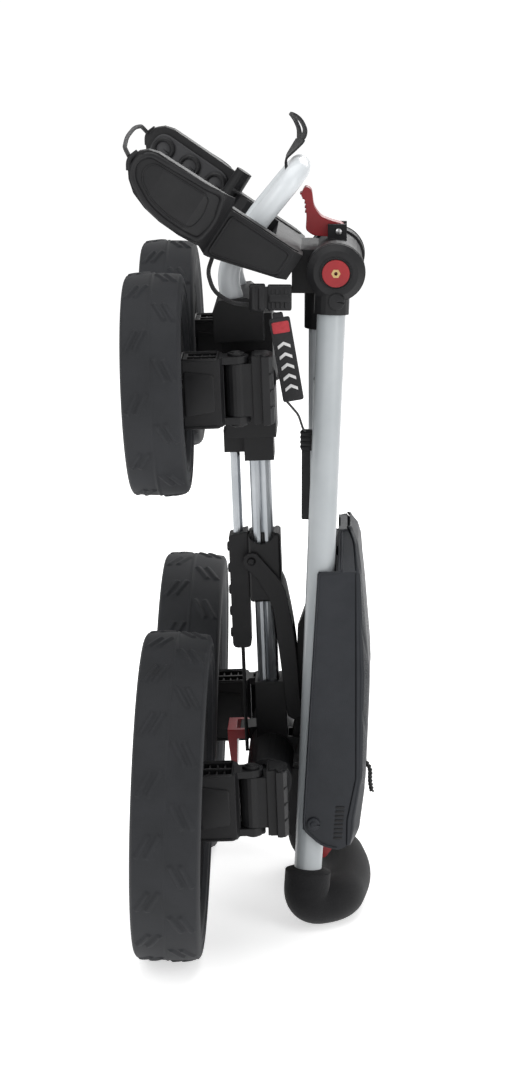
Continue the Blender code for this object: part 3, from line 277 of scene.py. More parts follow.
def finish(name, dark, light, rough, grain=(900, 0.12), patch=40, metallic=0.0, stretch=None,
           edge=0.0, specular=0.5, coat=0.0, sheen=0.0, weave=None):
    """Moulded, painted or woven finish. Colour drifts from dark to light and roughness between
    two values with a slow noise; a fine noise, or a weave of crossed waves, gives the bump."""
    made, shader, node, link = nodes_of(name)
    shader.inputs["Metallic"].default_value = metallic
    shader.inputs["Specular IOR Level"].default_value = specular
    shader.inputs["Coat Weight"].default_value = coat
    shader.inputs["Coat Roughness"].default_value = 0.12
    shader.inputs["Sheen Weight"].default_value = sheen
    shader.inputs["Sheen Roughness"].default_value = 0.5
    place = node("ShaderNodeTexCoord").outputs["Object"]
    if stretch:
        mapped = node("ShaderNodeMapping")
        mapped.inputs["Scale"].default_value = stretch
        link(place, mapped.inputs["Vector"])
        fine_place = mapped.outputs["Vector"]
    else:
        fine_place = place
    slow = node("ShaderNodeTexNoise", Scale=patch, Detail=4.0, Roughness=0.6)
    link(place, slow.inputs["Vector"])
    tone = node("ShaderNodeMix", data_type="RGBA")
    tone.inputs[6].default_value = (*dark, 1)
    tone.inputs[7].default_value = (*light, 1)
    spread = node("ShaderNodeMapRange")
    spread.inputs["From Min"].default_value = 0.3
    spread.inputs["From Max"].default_value = 0.7
    link(slow.outputs["Fac"], spread.inputs["Value"])
    link(spread.outputs["Result"], tone.inputs[0])
    link(tone.outputs[2], shader.inputs["Base Color"])
    matt = node("ShaderNodeMapRange")
    matt.inputs["To Min"].default_value = rough[0]
    matt.inputs["To Max"].default_value = rough[1]
    link(slow.outputs["Fac"], matt.inputs["Value"])
    link(matt.outputs["Result"], shader.inputs["Roughness"])
    if weave:
        across, length, depth = weave
        uv = node("ShaderNodeTexCoord").outputs["UV"]
        warp = node("ShaderNodeTexWave", Scale=across, Distortion=0.0)
        weft = node("ShaderNodeTexWave", Scale=length, Distortion=0.0, bands_direction="Y")
        link(uv, warp.inputs["Vector"])
        link(uv, weft.inputs["Vector"])
        crossed = node("ShaderNodeMath", operation="MULTIPLY")
        link(warp.outputs["Fac"], crossed.inputs[0])
        link(weft.outputs["Fac"], crossed.inputs[1])
        height, strength = crossed.outputs[0], depth
    else:
        fine = node("ShaderNodeTexNoise", Scale=grain[0], Detail=3.0, Roughness=0.55)
        link(fine_place, fine.inputs["Vector"])
        height, strength = fine.outputs["Fac"], grain[1]
    bump = node("ShaderNodeBump", Strength=strength, Distance=0.0005)
    link(height, bump.inputs["Height"])
    if edge:
        soft = node("ShaderNodeBevel", Radius=edge, samples=6)
        link(soft.outputs["Normal"], bump.inputs["Normal"])
    link(bump.outputs["Normal"], shader.inputs["Normal"])
    return made


NYLON = finish("black_nylon", (0.006, 0.006, 0.007), (0.011, 0.011, 0.012), (0.40, 0.58),
               (1400, 0.22), edge=0.0012, specular=0.30)
RUBBER = finish("tyre_rubber", (0.010, 0.011, 0.013), (0.018, 0.019, 0.022), (0.60, 0.80),
                (700, 0.30), 28, specular=0.32)
RIM_LOOK = finish("rim_plastic", (0.006, 0.006, 0.007), (0.010, 0.010, 0.012), (0.42, 0.56),
                  (1200, 0.15), edge=0.0008, specular=0.30)
ALUMINIUM = finish("anodised_aluminium", (0.33, 0.35, 0.37), (0.44, 0.46, 0.48), (0.26, 0.38),
                   (260, 0.10), 30, 1.0, (6.0, 6.0, 0.05))
CROSS_ALUMINIUM = finish("anodised_cross_tube", (0.33, 0.35, 0.37), (0.44, 0.46, 0.48),
                         (0.26, 0.38), (260, 0.10), 30, 1.0, (6.0, 0.05, 6.0))
PAINTED_TUBE = finish("silver_white_tube", (0.50, 0.53, 0.55), (0.58, 0.61, 0.63), (0.30, 0.40),
                      (180, 0.05), 24, 0.25, (4.0, 4.0, 0.1))
WHITE = finish("white_paint", (0.58, 0.61, 0.63), (0.65, 0.68, 0.70), (0.28, 0.38), (160, 0.05),
               18, coat=0.35)
# Painted shade: the handle legs carry the same white paint as the base loop, and this darker grey copy of it
# stands for the shade they sit in.
SHADED_WHITE_PAINT = finish("leg_paint", (0.34, 0.365, 0.38), (0.40, 0.425, 0.44), (0.26, 0.36), (160, 0.05),
                   18, coat=0.35)
STEEL = finish("steel", (0.42, 0.42, 0.43), (0.58, 0.58, 0.58), (0.24, 0.40), (600, 0.12), 60, 1.0)
RED = finish("red_plastic", (0.23, 0.005, 0.009), (0.30, 0.009, 0.013), (0.30, 0.42),
             (900, 0.08), edge=0.0008)
CONSOLE = finish("console_plastic", (0.011, 0.013, 0.017), (0.018, 0.020, 0.025), (0.42, 0.56),
                 (1500, 0.30), edge=0.0010, specular=0.32)
CONSOLE_GRID = finish("console_grid", (0.011, 0.013, 0.017), (0.018, 0.020, 0.025), (0.36, 0.50),
                      specular=0.36, weave=(16, 16, 0.6))
FOAM = finish("grip_foam", (0.004, 0.004, 0.005), (0.009, 0.009, 0.010), (0.85, 0.97),
              (650, 0.75), 60, specular=0.3, sheen=0.10)
PAD = finish("pad_rubber", (0.016, 0.016, 0.018), (0.030, 0.030, 0.033), (0.5, 0.7), (800, 0.2))
WEBBING = finish("woven_webbing", (0.008, 0.008, 0.009), (0.018, 0.018, 0.020), (0.75, 0.92),
                 patch=120, sheen=0.15, weave=(9, 9, 0.7))
CORD = finish("braided_cord", (0.008, 0.008, 0.009), (0.020, 0.020, 0.022), (0.7, 0.9),
              patch=200, sheen=0.15, weave=(12, 1.2, 0.8))
RED_PATCH = finish("red_patch", (0.33, 0.02, 0.03), (0.45, 0.04, 0.05), (0.7, 0.85),
                   patch=200, sheen=0.1, weave=(6, 6, 0.5))
PALE_PRINT = finish("pale_print", (0.60, 0.60, 0.60), (0.72, 0.72, 0.72), (0.6, 0.75), (900, 0.1))
BRASS = finish("brass", (0.50, 0.36, 0.16), (0.62, 0.45, 0.22), (0.28, 0.42), (500, 0.1), 60, 1.0)

SLOT_LOOK = {"nylon": NYLON, "tyre": RUBBER, "rim": RIM_LOOK, "aluminium": ALUMINIUM,
             "white_paint": WHITE, "steel": STEEL, "red": RED, "console": CONSOLE,
             "foam": FOAM, "webbing": WEBBING, "pad": PAD}
for name, node in NODES.items():
    look = SLOT_LOOK[FINISHES[name]]
    if name.endswith("cross_tube"):
        look = CROSS_ALUMINIUM
    if name == "main_tube":
        look = PAINTED_TUBE
    if name == "push_rod":
        look = NYLON
    node.data.materials.clear()
    node.data.materials.append(look)


# ------------------------------------------------------------------------ wheels
TYRE_DEPTH = 0.0325             # from the tread to the rim's seat


def bar(x, s, centre, slant, half_length, half_width, ramp):
    """1 inside a slanted bar on the (x, s) plane and 0 outside, with a ramp at its edge."""
    dx, ds = x - centre[0], s - centre[1]
    run = dx * math.cos(slant) + ds * math.sin(slant)
    off = -dx * math.sin(slant) + ds * math.cos(slant)
    gap = np.maximum(np.abs(run) - half_length, np.abs(off) - half_width)
    return np.clip(0.5 - gap / ramp, 0, 1)


def tread(x, s, pitch, half):
    """Height of the tread marks: every pitch, two slanted bars on one side of the middle and,
    half a pitch on, two on the other side, plus a fine line round the middle."""
    height = np.zeros(np.broadcast(x, s).shape)
    for side in (-1, 1):
        local = np.mod(s + (side + 1) * pitch / 4, pitch) - pitch / 2
        for offset in (-0.150, 0.150):
            centre = (half * (side * 0.47 + offset), 0)
            height = np.maximum(height, bar(x, local, centre, side * math.radians(64),
                                            half * 0.40, half * 0.065, 0.0011))
    middle = np.clip(1.4 - np.abs(x) / 0.0011, 0, 1)
    return 0.0017 * height + 0.0007 * middle


def tyre_profile(radius, half, columns):
    """Closed (x, r) profile of a tyre: crowned tread, round shoulders, stepped side walls."""
    seat = radius - TYRE_DEPTH
    x = np.linspace(-0.90 * half, 0.90 * half, columns)
    crown = radius - 0.0016 * (x / (0.85 * half)) ** 2
    wall = rounded([(0.90 * half, crown[-1]), (0.975 * half, radius - 0.0050),
                    (half, radius - 0.0105), (half * 0.955, radius - 0.0118),
                    (half * 0.96, radius - 0.0160), (half * 0.995, radius - 0.0172),
                    (half * 0.99, radius - 0.0200), (half * 0.955, radius - 0.0212),
                    (half * 0.94, seat + 0.006), (half * 0.80, seat + 0.0004)],
                   0.0022, 3, False)[1:]
    left = wall[::-1] * (-1, 1)
    return np.concatenate([left, np.stack([x, crown], 1), wall])


def make_tyre(radius, half, sides, columns):
    """Tyre turned about X, its radius raised by the tread marks on the crown."""
    shell = turned(tyre_profile(radius, half, columns), sides)
    x = shell[..., 0]
    r = np.hypot(shell[..., 1], shell[..., 2])
    s = np.linspace(0, 2 * math.pi * radius, sides, endpoint=False)[:, None]
    marks = round(2 * math.pi * radius / 0.056)
    on_crown = np.abs(x) <= 0.89 * half
    lift = np.where(on_crown & (r > radius - 0.004),
                    tread(x, s, 2 * math.pi * radius / marks, half), 0)
    lift = lift - 0.0014
    shell[..., 1:] *= (1 + lift / r)[..., None]
    return shell


def make_rim(radius, half, spokes, sides):
    """Rim turned about X. Its web rises by round spokes, rib = cos(n t / 2)^8 between the hub
    and the barrel, and by two fine rings."""
    seat = radius - TYRE_DEPTH
    barrel = seat - 0.0045
    hub = 0.019
    r = np.concatenate([np.linspace(0.0056, hub, 6), np.linspace(hub + 0.0015, barrel - 0.001, 34),
                        [barrel, barrel + 0.0008, seat - 0.0006, seat]])
    reach = half * 0.78
    face = np.interp(r, [0, 0.009, 0.0145, 0.0165, hub, hub + 0.0015, hub + 0.010, barrel - 0.010,
                         barrel - 0.001, barrel, barrel + 0.0008, seat - 0.0006, seat],
                     [0.0200, 0.0202, 0.0202, 0.0190, 0.0150, 0.0075, 0.0052, 0.0045, 0.0070,
                      reach - 0.0012, reach, reach, reach - 0.0008])
    t = np.linspace(0, 2 * math.pi, sides, endpoint=False)[:, None]
    span = np.clip((r - hub) / 0.010, 0, 1) * np.clip((barrel - r) / 0.006, 0, 1)
    rib = np.clip(np.cos(spokes * t / 2) ** 2 * 2.6 - 1.5, 0, 1)
    ring = np.clip(1.5 - np.abs(r - (hub + (barrel - hub) * 0.55)) / 0.0012, 0, 1) * 0.0016
    face = face + span * (rib * 0.0055 + ring)
    both = np.concatenate([face, -face[:, ::-1]], 1)
    radii = np.concatenate([r, r[::-1]])
    return np.stack([both, radii * np.cos(t), radii * np.sin(t)], -1)


for end, radius, half, sides, columns, spokes in (("front", 0.1007, 0.02665, 540, 46, 9),
                                                 ("rear", 0.150, 0.031, 780, 50, 11)):
    for _, hand in SIDES:
        name = f"{end}_{hand}"
        joint = JOINTS[f"wheel_{name}_spin"]
        lay = along(joint["axis"], joint["pos_m"])
        make(f"tread_{name}", [placed(make_tyre(radius, half, sides, columns), lay)], RUBBER,
             f"wheel_{name}", [f"tyre_{name}"], True, 50)
        make(f"wheel_disc_{name}", [placed(make_rim(radius, half, spokes, 264), lay)], RIM_LOOK,
             f"wheel_{name}", [f"rim_{name}"], True, 50)
        cap = placed(turned(domed(0.0085, 0.003), 28),
                     lay @ shift(-0.0262, 0, 0) @ turn(2, math.pi))
        make(f"axle_cap_{name}", [cap], RED if end == "front" else NYLON, f"wheel_{name}")


# ------------------------------------------------------------------- swing arms
def lobe(path, radius, columns=14, across=(0, 1, 0)):
    """Round tube of a radius along a path."""
    return swept(path, circle(radius, columns), across)


ARM_PIN_X = -0.0135             # hinge pin of the arms, in the chassis frame
ARM_HALF_HEIGHT = 0.0305
ARM_DROP = 0.0065               # arm's middle below its wheel's axle
for end in ("front", "rear"):
    for side, hand in SIDES:
        name = f"{end}_{hand}"
        pin = np.array(JOINTS[f"arm_{name}_fold"]["pos_m"])
        y = pin[1]
        middle = (np.linalg.inv(CHASSIS) @ np.r_[pin, 1])[2] - ARM_DROP
        low, high = middle - ARM_HALF_HEIGHT, middle + ARM_HALF_HEIGHT
        ribs = []
        for x in (-0.0515, -0.0445, -0.0375):
            for z0, z1 in ((high - 0.0200, high - 0.0015), (low + 0.0015, low + 0.0200)):
                for a, b in ((-0.0180, -0.0015), (0.0015, 0.0180)):
                    ribs.append(placed(block((x - 0.0008, y + a, z0), (x + 0.0008, y + b, z1),
                                             0.0004, 2), CHASSIS))
        for z in (high, low):
            ring = [(-0.0625, y - 0.0212), (-0.0300, y - 0.0212), (-0.0300, y + 0.0212),
                    (-0.0625, y + 0.0212)]
            path = np.c_[rounded(ring, 0.003, 3), np.full(16, z)]
            path = np.r_[path, path[:1]]
            ribs.append(placed(lobe(path, 0.0013, 8, (0, 0, 1)), CHASSIS))
        for s in (-1, 1):
            wall = [(-0.0600, low + 0.010), (-0.0330, low + 0.014), (-0.0330, high - 0.014),
                    (-0.0600, high - 0.010)]
            face = y + s * 0.0205
            ribs.append(placed(prism(rounded(wall, 0.003, 3), min(face, face + s * 0.0018),
                                     max(face, face + s * 0.0018), 0.0006), CHASSIS))
        ribs.append(placed(block((-0.0257, y - 0.0110, low + 0.0070),
                                 (-0.0247, y + 0.0110, high - 0.0070), 0.0003), CHASSIS))
        make(f"arm_ribs_{name}", ribs, NYLON, f"swing_{name}")
        caps = []
        for z, flip in ((high, -1), (low, 1)):
            lay = CHASSIS @ shift(ARM_PIN_X, y, z) @ turn(1, flip * math.pi / 2)
            caps.append(placed(turned(domed(0.0078, 0.0026), 28), lay))
            caps.append(placed(turned(domed(0.0050, 0.0038), 24), lay))
        plate = [(0.0022, y - side * 0.0175), (0.0125, y - side * 0.0175),
                 (0.0170, y - side * 0.0095), (0.0170, y + side * 0.0085),
                 (0.0140, y + side * 0.0160), (0.0102, y + side * 0.0160),
                 (0.0094, y + side * 0.0095), (0.0022, y + side * 0.0095)]
        for z0, z1 in ((high - 0.0004, high + 0.0012), (low - 0.0012, low + 0.0004)):
            caps.append(placed(prism(rounded(plate, 0.0015, 3), z0, z1, 0.0006, "XY"), CHASSIS))
        for z in (-0.015, 0, 0.015):
            lip = [(0.0115, y - side * 0.0196), (0.0187, y - side * 0.0108),
                   (0.0187, y + side * 0.0108), (0.0165, y + side * 0.0172)]
            path = np.c_[rounded(lip, 0.003, 4, False), np.zeros(12)]
            path[:, 2] = middle + z
            caps.append(placed(lobe(path, 0.0011, 8, (0, 0, 1)), CHASSIS))
        make(f"knuckle_trim_{name}", caps, NYLON, "chassis")

# ------------------------------------------------------------------- bag bracket
def outer_face(x, side):
    """Y of the bracket's outer face at an x of its own frame."""
    return side * np.interp(x, [-0.1300, -0.1260, -0.1000, -0.0580, -0.0400, -0.0300, 0.0380,
                                0.0460],
                            [0.1190, 0.1240, 0.1245, 0.1190, 0.1000, 0.0810, 0.0800, 0.0720])


def on_face(outline, side, radius, lift=0.0):
    """Bead of a radius that follows a closed outline on the bracket's outer face."""
    path = resampled(np.r_[outline, outline[:1]], 90)
    y = outer_face(path[:, 0], side) + side * lift
    lay = np.stack([path[:, 0], y, path[:, 1]], 1)
    return placed(lobe(lay, radius, 10, (0.02, 1, 0.02)), BRACKET)


WING_RIM = rounded([(-0.1180, 0.0160), (-0.0440, 0.0185), (-0.0375, -0.0060), (-0.0410, -0.0285),
                    (-0.0780, -0.0275), (-0.0960, -0.0240), (-0.1195, -0.0115), (-0.1265, 0.0030)],
                   [0.006, 0.006, 0.010, 0.006, 0.010, 0.008, 0.008, 0.008], 4)
WING_STEP = rounded([(-0.1100, 0.0110), (-0.0530, 0.0120), (-0.0490, -0.0060), (-0.0520, -0.0215),
                     (-0.0770, -0.0215), (-0.0940, -0.0180), (-0.1120, -0.0080),
                     (-0.1160, 0.0030)], 0.006, 4)
for side, hand in SIDES:
    beads = [on_face(WING_RIM, side, 0.0030, -0.0004), on_face(WING_STEP, side, 0.0009)]
    arm_rim = rounded([(-0.0270, 0.0050), (0.0360, 0.0050), (0.0360, -0.0180), (-0.0270, -0.0355)],
                      0.005, 4)
    beads.append(on_face(arm_rim, side, 0.0014, -0.0004))
    tip = [(-0.1255, side * 0.1215, -0.0070), (-0.1310, side * 0.1200, 0.0010),
           (-0.1275, side * 0.1185, 0.0105)]
    beads.append(placed(lobe(rounded(tip, 0.006, 5, False), 0.0030, 12), BRACKET))
    top = [(-0.0360, 0.0600), (0.0400, 0.0590), (0.0420, 0.0700), (0.0340, 0.0765),
           (-0.0280, 0.0775), (-0.0340, 0.0720)]
    top = [(x, side * y) for x, y in top]
    beads.append(placed(prism(rounded(top, 0.003, 3), 0.0080, 0.0102, 0.0008, "XY"), BRACKET))
    make(f"wing_rim_{hand}", beads, NYLON, "upright")

PAD_SLOPE = math.atan2(0.1105 - 0.0975, 0.086)
for side, hand in SIDES:
    lay = (BRACKET @ shift(-0.110, side * (0.1105 - 0.016 * math.tan(PAD_SLOPE)), 0)
           @ turn(2, -side * PAD_SLOPE))
    strip = rounded([(-0.0125, -0.0135), (0.0695, -0.0135), (0.0695, 0.0135), (-0.0125, 0.0135)],
                    0.0125, 8)
    near, far = sorted((-side * 0.0004, -side * 0.0036))
    shells = [placed(prism(strip, near, far, 0.0012), lay)]
    discs = []
    for step in range(3):
        face = lay @ shift(step * 0.0297, -side * 0.0030, 0) @ turn(2, -side * math.pi / 2)
        ring = [(0, 0.0066), (0, 0.0112), (0.0030, 0.0110), (0.0042, 0.0100), (0.0044, 0.0088),
                (0.0036, 0.0074), (0.0022, 0.0068)]
        discs.append(placed(turned(ring, 40), face))
        shells.append(placed(turned([(0, 1e-5), (0, 0.0080), (0.0016, 0.0080), (0.0024, 0.0060),
                                     (0.0030, 0.0030), (0.0032, 1e-5)], 36), face))
    make(f"wing_pads_{hand}", shells, PAD, "upright", [f"pad_strip_{hand}"])
    make(f"pad_rings_{hand}", discs, NYLON, "upright", ring=True)

lever = []
for step in range(5):
    z = 0.664 + step * 0.0042
    x = np.interp(z, [0.660, 0.674, 0.680], [0.0498, 0.0490, 0.0450])
    lever.append(block((x - 0.0012, -0.0080, z - 0.0009), (x + 0.0012, 0.0080, z + 0.0009), 0.0006))
make("lever_grips", lever, RED, "cam")
pins = [placed(turned(domed(0.0030, 0.0016), 20), shift(CAM_PIN[0], s * 0.0145, CAM_PIN[2])
               @ turn(2, s * math.pi / 2)) for s in (-1, 1)]
make("lever_pin_heads", pins, STEEL, "upright")

# ------------------------------------------------------------------ handle hinge
for side, hand in SIDES:
    out = turn(2, side * math.pi / 2)
    rings = [placed(turned([(0, 0.0135), (0, 0.0150), (0.0012, 0.0146), (0.0012, 0.0139)], 56),
                    shift(HINGE[0], side * 0.0768, HINGE[2]) @ out),
             placed(turned([(0, 0.0255), (0, 0.0268), (0.0022, 0.0268), (0.0030, 0.0258),
                            (0.0022, 0.0250)], 64), shift(HINGE[0], side * 0.0660, HINGE[2]) @ out)]
    make(f"hinge_rings_{hand}", rings, NYLON, "handle", ring=True)
    insert = turned([(0, 0.0018), (0, 0.0042), (0.0014, 0.0042), (0.0014, 0.0018)], 6)
    make(f"hinge_insert_{hand}", [placed(insert, shift(HINGE[0], side * 0.0765, HINGE[2]) @ out)],
         BRASS, "handle", ring=True)
    boss = turned(domed(0.0075, 0.0052), 32)
    at_boss = shift(HINGE[0] + 0.0005, side * 0.0740, HINGE[2] - 0.0255) @ out
    make(f"leg_boss_{hand}", [placed(boss, at_boss)], NYLON, "handle")

# ----------------------------------------------------------------- straps, cords
def ribbon_at(path, s, w):
    """Point of a strap in its plane: distance s along the path, w across it."""
    length = np.r_[0, np.cumsum(np.linalg.norm(np.diff(path, axis=0), axis=1))]
    x = np.interp(s, length, path[:, 0])
    z = np.interp(s, length, path[:, 1])
    return x, w, z


def strap_normal(path, s):
    """Unit normal of the path, in its plane, at distance s."""
    ahead = np.array(ribbon_at(path, s + 0.0005, 0 * s)[:3:2])
    back = np.array(ribbon_at(path, s - 0.0005, 0 * s)[:3:2])
    run = ahead - back
    run = run / np.maximum(np.linalg.norm(run, axis=0), 1e-9)
    return -run[1], run[0]


def strap_shell(path, s, w, thick):
    """Closed sleeve over (s, w) samples: each point goes to both faces, thick apart, along
    the path's normal. s and w are grids whose rows run from one edge to the other."""
    x, y, z = ribbon_at(path, s, w)
    nx, nz = strap_normal(path, s)
    half = thick / 2
    top = np.stack([x + nx * half, y, z + nz * half], -1)
    low = np.stack([x - nx * half, y, z - nz * half], -1)
    return np.concatenate([top, low[:, ::-1]], 1)


STRAP_PATH = rounded([(0.0352, 0.6990), (0.0340, 0.7112), (0.0410, 0.7190), (0.0495, 0.7280),
                      (0.0515, 0.7370), (0.0465, 0.7480), (0.0363, 0.7565)], 0.005, 6, False)
s, w = np.meshgrid(np.linspace(0.0006, 0.0345, 40), np.linspace(-0.0105, 0.0105, 15), indexing="ij")
tail = strap_shell(STRAP_PATH, s, w * (1 - 0.15 * (s / 0.0345) ** 2), 0.0021)
turns = np.linspace(0, 2 * math.pi, 72, endpoint=False)[:, None]
ringed = np.linspace(0, 1, 9)[None, :]
outer_w = 0.0104 * np.sign(np.cos(turns)) * np.abs(np.cos(turns)) ** 0.75
outer_s = 0.0150 * np.sign(np.sin(turns)) * np.abs(np.sin(turns)) ** 0.75
inner_w, inner_s = 0.0048 * np.cos(turns), 0.0090 * np.sin(turns)
eye_w = inner_w + (outer_w - inner_w) * ringed
eye_s = 0.0480 + inner_s + (outer_s - inner_s) * ringed
eye = strap_shell(STRAP_PATH, eye_s, eye_w, 0.0023)


STRAP_TWIST = math.radians(24)
STRAP_X = 0.0445                # the upright line it twists about


def twisted(points):
    """Points turned about the strap's own upright line, fully so above its root."""
    angle = np.clip((points[..., 2] - 0.712) / 0.014, 0, 1) * STRAP_TWIST
    x, y = points[..., 0] - STRAP_X, points[..., 1]
    made = points.copy()
    made[..., 0] = STRAP_X + x * np.cos(angle) - y * np.sin(angle)
    made[..., 1] = x * np.sin(angle) + y * np.cos(angle)
    return made


make("loop_strap_tail", [placed(twisted(tail), CHASSIS)], WEBBING, "chassis",
     ["loop_strap"], uv=(3, 4))
make("loop_strap_eye", [placed(twisted(eye), CHASSIS)], WEBBING, "chassis",
     ring=True, uv=(6, 2))

cord_path = rounded([(-0.1325, -0.1185, 0.003), (-0.1400, -0.1080, 0.006), (-0.1440, -0.050, 0.008),
                     (-0.1440, 0.050, 0.008), (-0.1400, 0.1080, 0.006), (-0.1325, 0.1185, 0.003)],
                    [0, 0.008, 0.03, 0.03, 0.008, 0], 8, False)
cord_path = resampled(cord_path, 120)
make("cradle_cord", [placed(lobe(cord_path, 0.0020, 14, (0, 0, 1)), BRACKET)], CORD, "upright",
     ["elastic_cord"], uv=(60, 4))

lock_path = resampled(rounded([(-0.0385, -0.0695, 0.6290), (-0.0425, -0.0720, 0.6170),
                               (-0.0370, -0.0780, 0.6000), (-0.0200, -0.0845, 0.5905),
                               (-0.0045, -0.0865, 0.5895)],
                              [0, 0.009, 0.012, 0.008, 0], 8, False), 90)
make("lock_cord_braid", [placed(lobe(lock_path, 0.0020, 14), TROLLEY)], CORD, "upright",
     ["lock_cord"], uv=(18, 4))

TAB = TROLLEY @ shift(0.0292, -0.0865, 0.5400) @ turn(1, math.radians(-10))
body_line = rounded([(-0.0095, -0.0385), (0.0095, -0.0385), (0.0095, 0.0385), (-0.0095, 0.0385)],
                    0.0025, 4)
eye_line = rounded([(-0.0055, 0.0365), (0.0040, 0.0365), (0.0040, 0.0435), (-0.0055, 0.0435)],
                   0.002, 3)
patch_line = rounded([(-0.0078, 0.0245), (0.0078, 0.0245), (0.0078, 0.0350), (-0.0078, 0.0350)],
                     0.0015, 3)
make("tab_body", [placed(prism(body_line, -0.0017, 0.0017, 0.0007), TAB),
                  placed(prism(eye_line, -0.0012, 0.0012, 0.0006), TAB)],
     WEBBING, "upright", ["pull_tab"], uv=(2, 10))
make("tab_red_patch", [placed(prism(patch_line, -0.0022, 0.0022, 0.0004), TAB)], RED_PATCH,
     "upright", uv=(2, 6))
chevrons = []
for step in range(5):
    z = -0.0290 + step * 0.0098
    outline = [(-0.0058, z), (0.0, z + 0.0034), (0.0058, z), (0.0058, z + 0.0030),
               (0.0, z + 0.0064), (-0.0058, z + 0.0030)]
    chevrons.append(placed(prism(outline, -0.0021, 0.0021, 0.0003), TAB))
make("tab_chevrons", chevrons, PALE_PRINT, "upright")
stitches = []
for x in (-0.0084, 0.0084):
    for z in np.arange(-0.0360, 0.0370, 0.0030):
        stitches.append(placed(block((x - 0.0003, -0.0020, z), (x + 0.0003, 0.0020, z + 0.0019),
                                     0.0002, 1), TAB))
make("tab_stitching", stitches, PAD, "upright")

strap = rounded([(0.0425, 0.3830), (0.0505, 0.3830), (0.0505, 0.4500), (0.0425, 0.4500)], 0.0015, 3)
toggle = rounded([(0.0415, 0.4480), (0.0535, 0.4480), (0.0535, 0.4680), (0.0415, 0.4680)], 0.003, 4)
hanger = resampled(rounded([(0.0465, -0.0455, 0.4660), (0.0440, -0.0560, 0.4700),
                            (0.0400, -0.0700, 0.4860), (0.0300, -0.0865, 0.5010)],
                           0.006, 5, False), 50)
toggle_ribs = [block((0.0410, -0.0487, z), (0.0540, -0.0418, z + 0.0013), 0.0005)
               for z in (0.4510, 0.4555, 0.4600, 0.4645)]
make("hanging_strap_web", [placed(prism(strap, -0.0466, -0.0444, 0.0006), TROLLEY),
                           placed(lobe(hanger, 0.0011, 12, (0.3, 1, 0)), TROLLEY)], WEBBING,
     "upright", ["hanging_strap"], uv=(3, 10))
make("hanging_toggle", [placed(shell, TROLLEY) for shell in
                        [prism(toggle, -0.0480, -0.0425, 0.0015)] + toggle_ribs], NYLON,
     "upright")
buckle = [block((-0.0044, -0.0921, 0.5838), (0.0100, -0.0809, 0.6082), 0.0016),
          block((0.0120, -0.0921, 0.5848), (0.0338, -0.0809, 0.6075), 0.0016),
          block((0.0095, -0.0912, 0.5865), (0.0130, -0.0818, 0.6055), 0.0008)]
for x in np.arange(0.0155, 0.0300, 0.0040):
    buckle.append(block((x, -0.0928, 0.5875), (x + 0.0014, -0.0802, 0.6045), 0.0005))
for x in (-0.0025, 0.0040):
    buckle.append(block((x, -0.0930, 0.5858), (x + 0.0030, -0.0800, 0.6062), 0.0008))
buckle.append(block((0.0135, -0.0936, 0.5925), (0.0320, -0.0794, 0.5995), 0.0010))
make("buckle_shell", [placed(shell, TROLLEY) for shell in buckle], NYLON, "upright",
     ["cord_buckle"])

# -------------------------------------------------------------------------- grip
def leg_axis(z):
    """X and half spacing of the handle legs' axes at a height, when folded."""
    share = (0.6165 - z) / (0.6165 - 0.055)
    return 0.0734 - 0.036 * (0.6165 - z) - 0.0027, 0.060 + 0.027 * share


def smooth_tube(name, corners, reach, radius, count, frame_of, across, look, body, node):
    """Round tube along a path with rounded corners, in place of a CAD node."""
    path = resampled(rounded(corners, reach, 12, False), count)
    make(name, [placed(lobe(path, radius, 40, across), frame_of)], look, body,
         [node])


half_loop = [(-0.0125, -0.042, 0.5715), (-0.0245, -0.042, 0.615), (0.0060, -0.042, 0.657),
             (0.0470, -0.042, 0.7035)]
smooth_tube("base_loop_tube", half_loop + [(x, -y, z) for x, y, z in half_loop[::-1]],
            [0, 0.026, 0.012, 0.036, 0.036, 0.012, 0.026, 0], 0.010, 150, CHASSIS,
            (1, 0, -0.9), WHITE, "chassis", "bag_base_loop")
half_handle = [(leg_axis(z)[0], -leg_axis(z)[1], z) for z in (0.5935, 0.075)]
half_handle += [(0.0480, -0.0900, 0.0230), (0.0800, -0.0710, 0.0215)]
# The handle tube is drawn in the darker copy of the white paint, which is painted shade.
smooth_tube("handle_tube_smooth",
            half_handle + [(0.0910, 0.0, 0.0215)] + [(x, -y, z) for x, y, z in half_handle[::-1]],
            [0, 0.012, 0.030, 0.026, 0.040, 0.026, 0.030, 0.012, 0], 0.013, 260, TROLLEY,
            (1, 0, 1), SHADED_WHITE_PAINT, "handle", "handle_tube")

x, y = leg_axis(0.058)
grip_line = [(x, -y, 0.058), (0.0480, -0.0900, 0.0230), (0.0800, -0.0710, 0.0215),
             (0.0910, 0.0, 0.0215), (0.0800, 0.0710, 0.0215), (0.0480, 0.0900, 0.0230),
             (x, y, 0.058)]
grip_path = resampled(rounded(grip_line, [0, 0.028, 0.026, 0.040, 0.026, 0.028, 0], 10, False), 160)
ends = np.minimum(np.arange(160), np.arange(160)[::-1]) / 159 * 0.36
swell = 0.0215 * np.clip(ends / 0.004, 0, 1) ** 0.35
swell = np.maximum(swell, 0.0136)
rings = circle(1, 48)[None] * swell[:, None, None]
make("grip_sleeve", [placed(swept(grip_path, rings, (1, 0, 1)), TROLLEY)], FOAM, "handle",
     ["foam_grip"], uv=(20, 8))

# ----------------------------------------------------------------------- console
LID_LOW, LID_HIGH = 0.0848, 0.3735


def console_half(z):
    """Half the console's width at a height: just outside the legs, then straight in from the
    shoulder to the top."""
    full = leg_axis(z)[1] + 0.0165
    return full + (0.032 - full) * np.clip((z - 0.343) / 0.028, 0, 1)


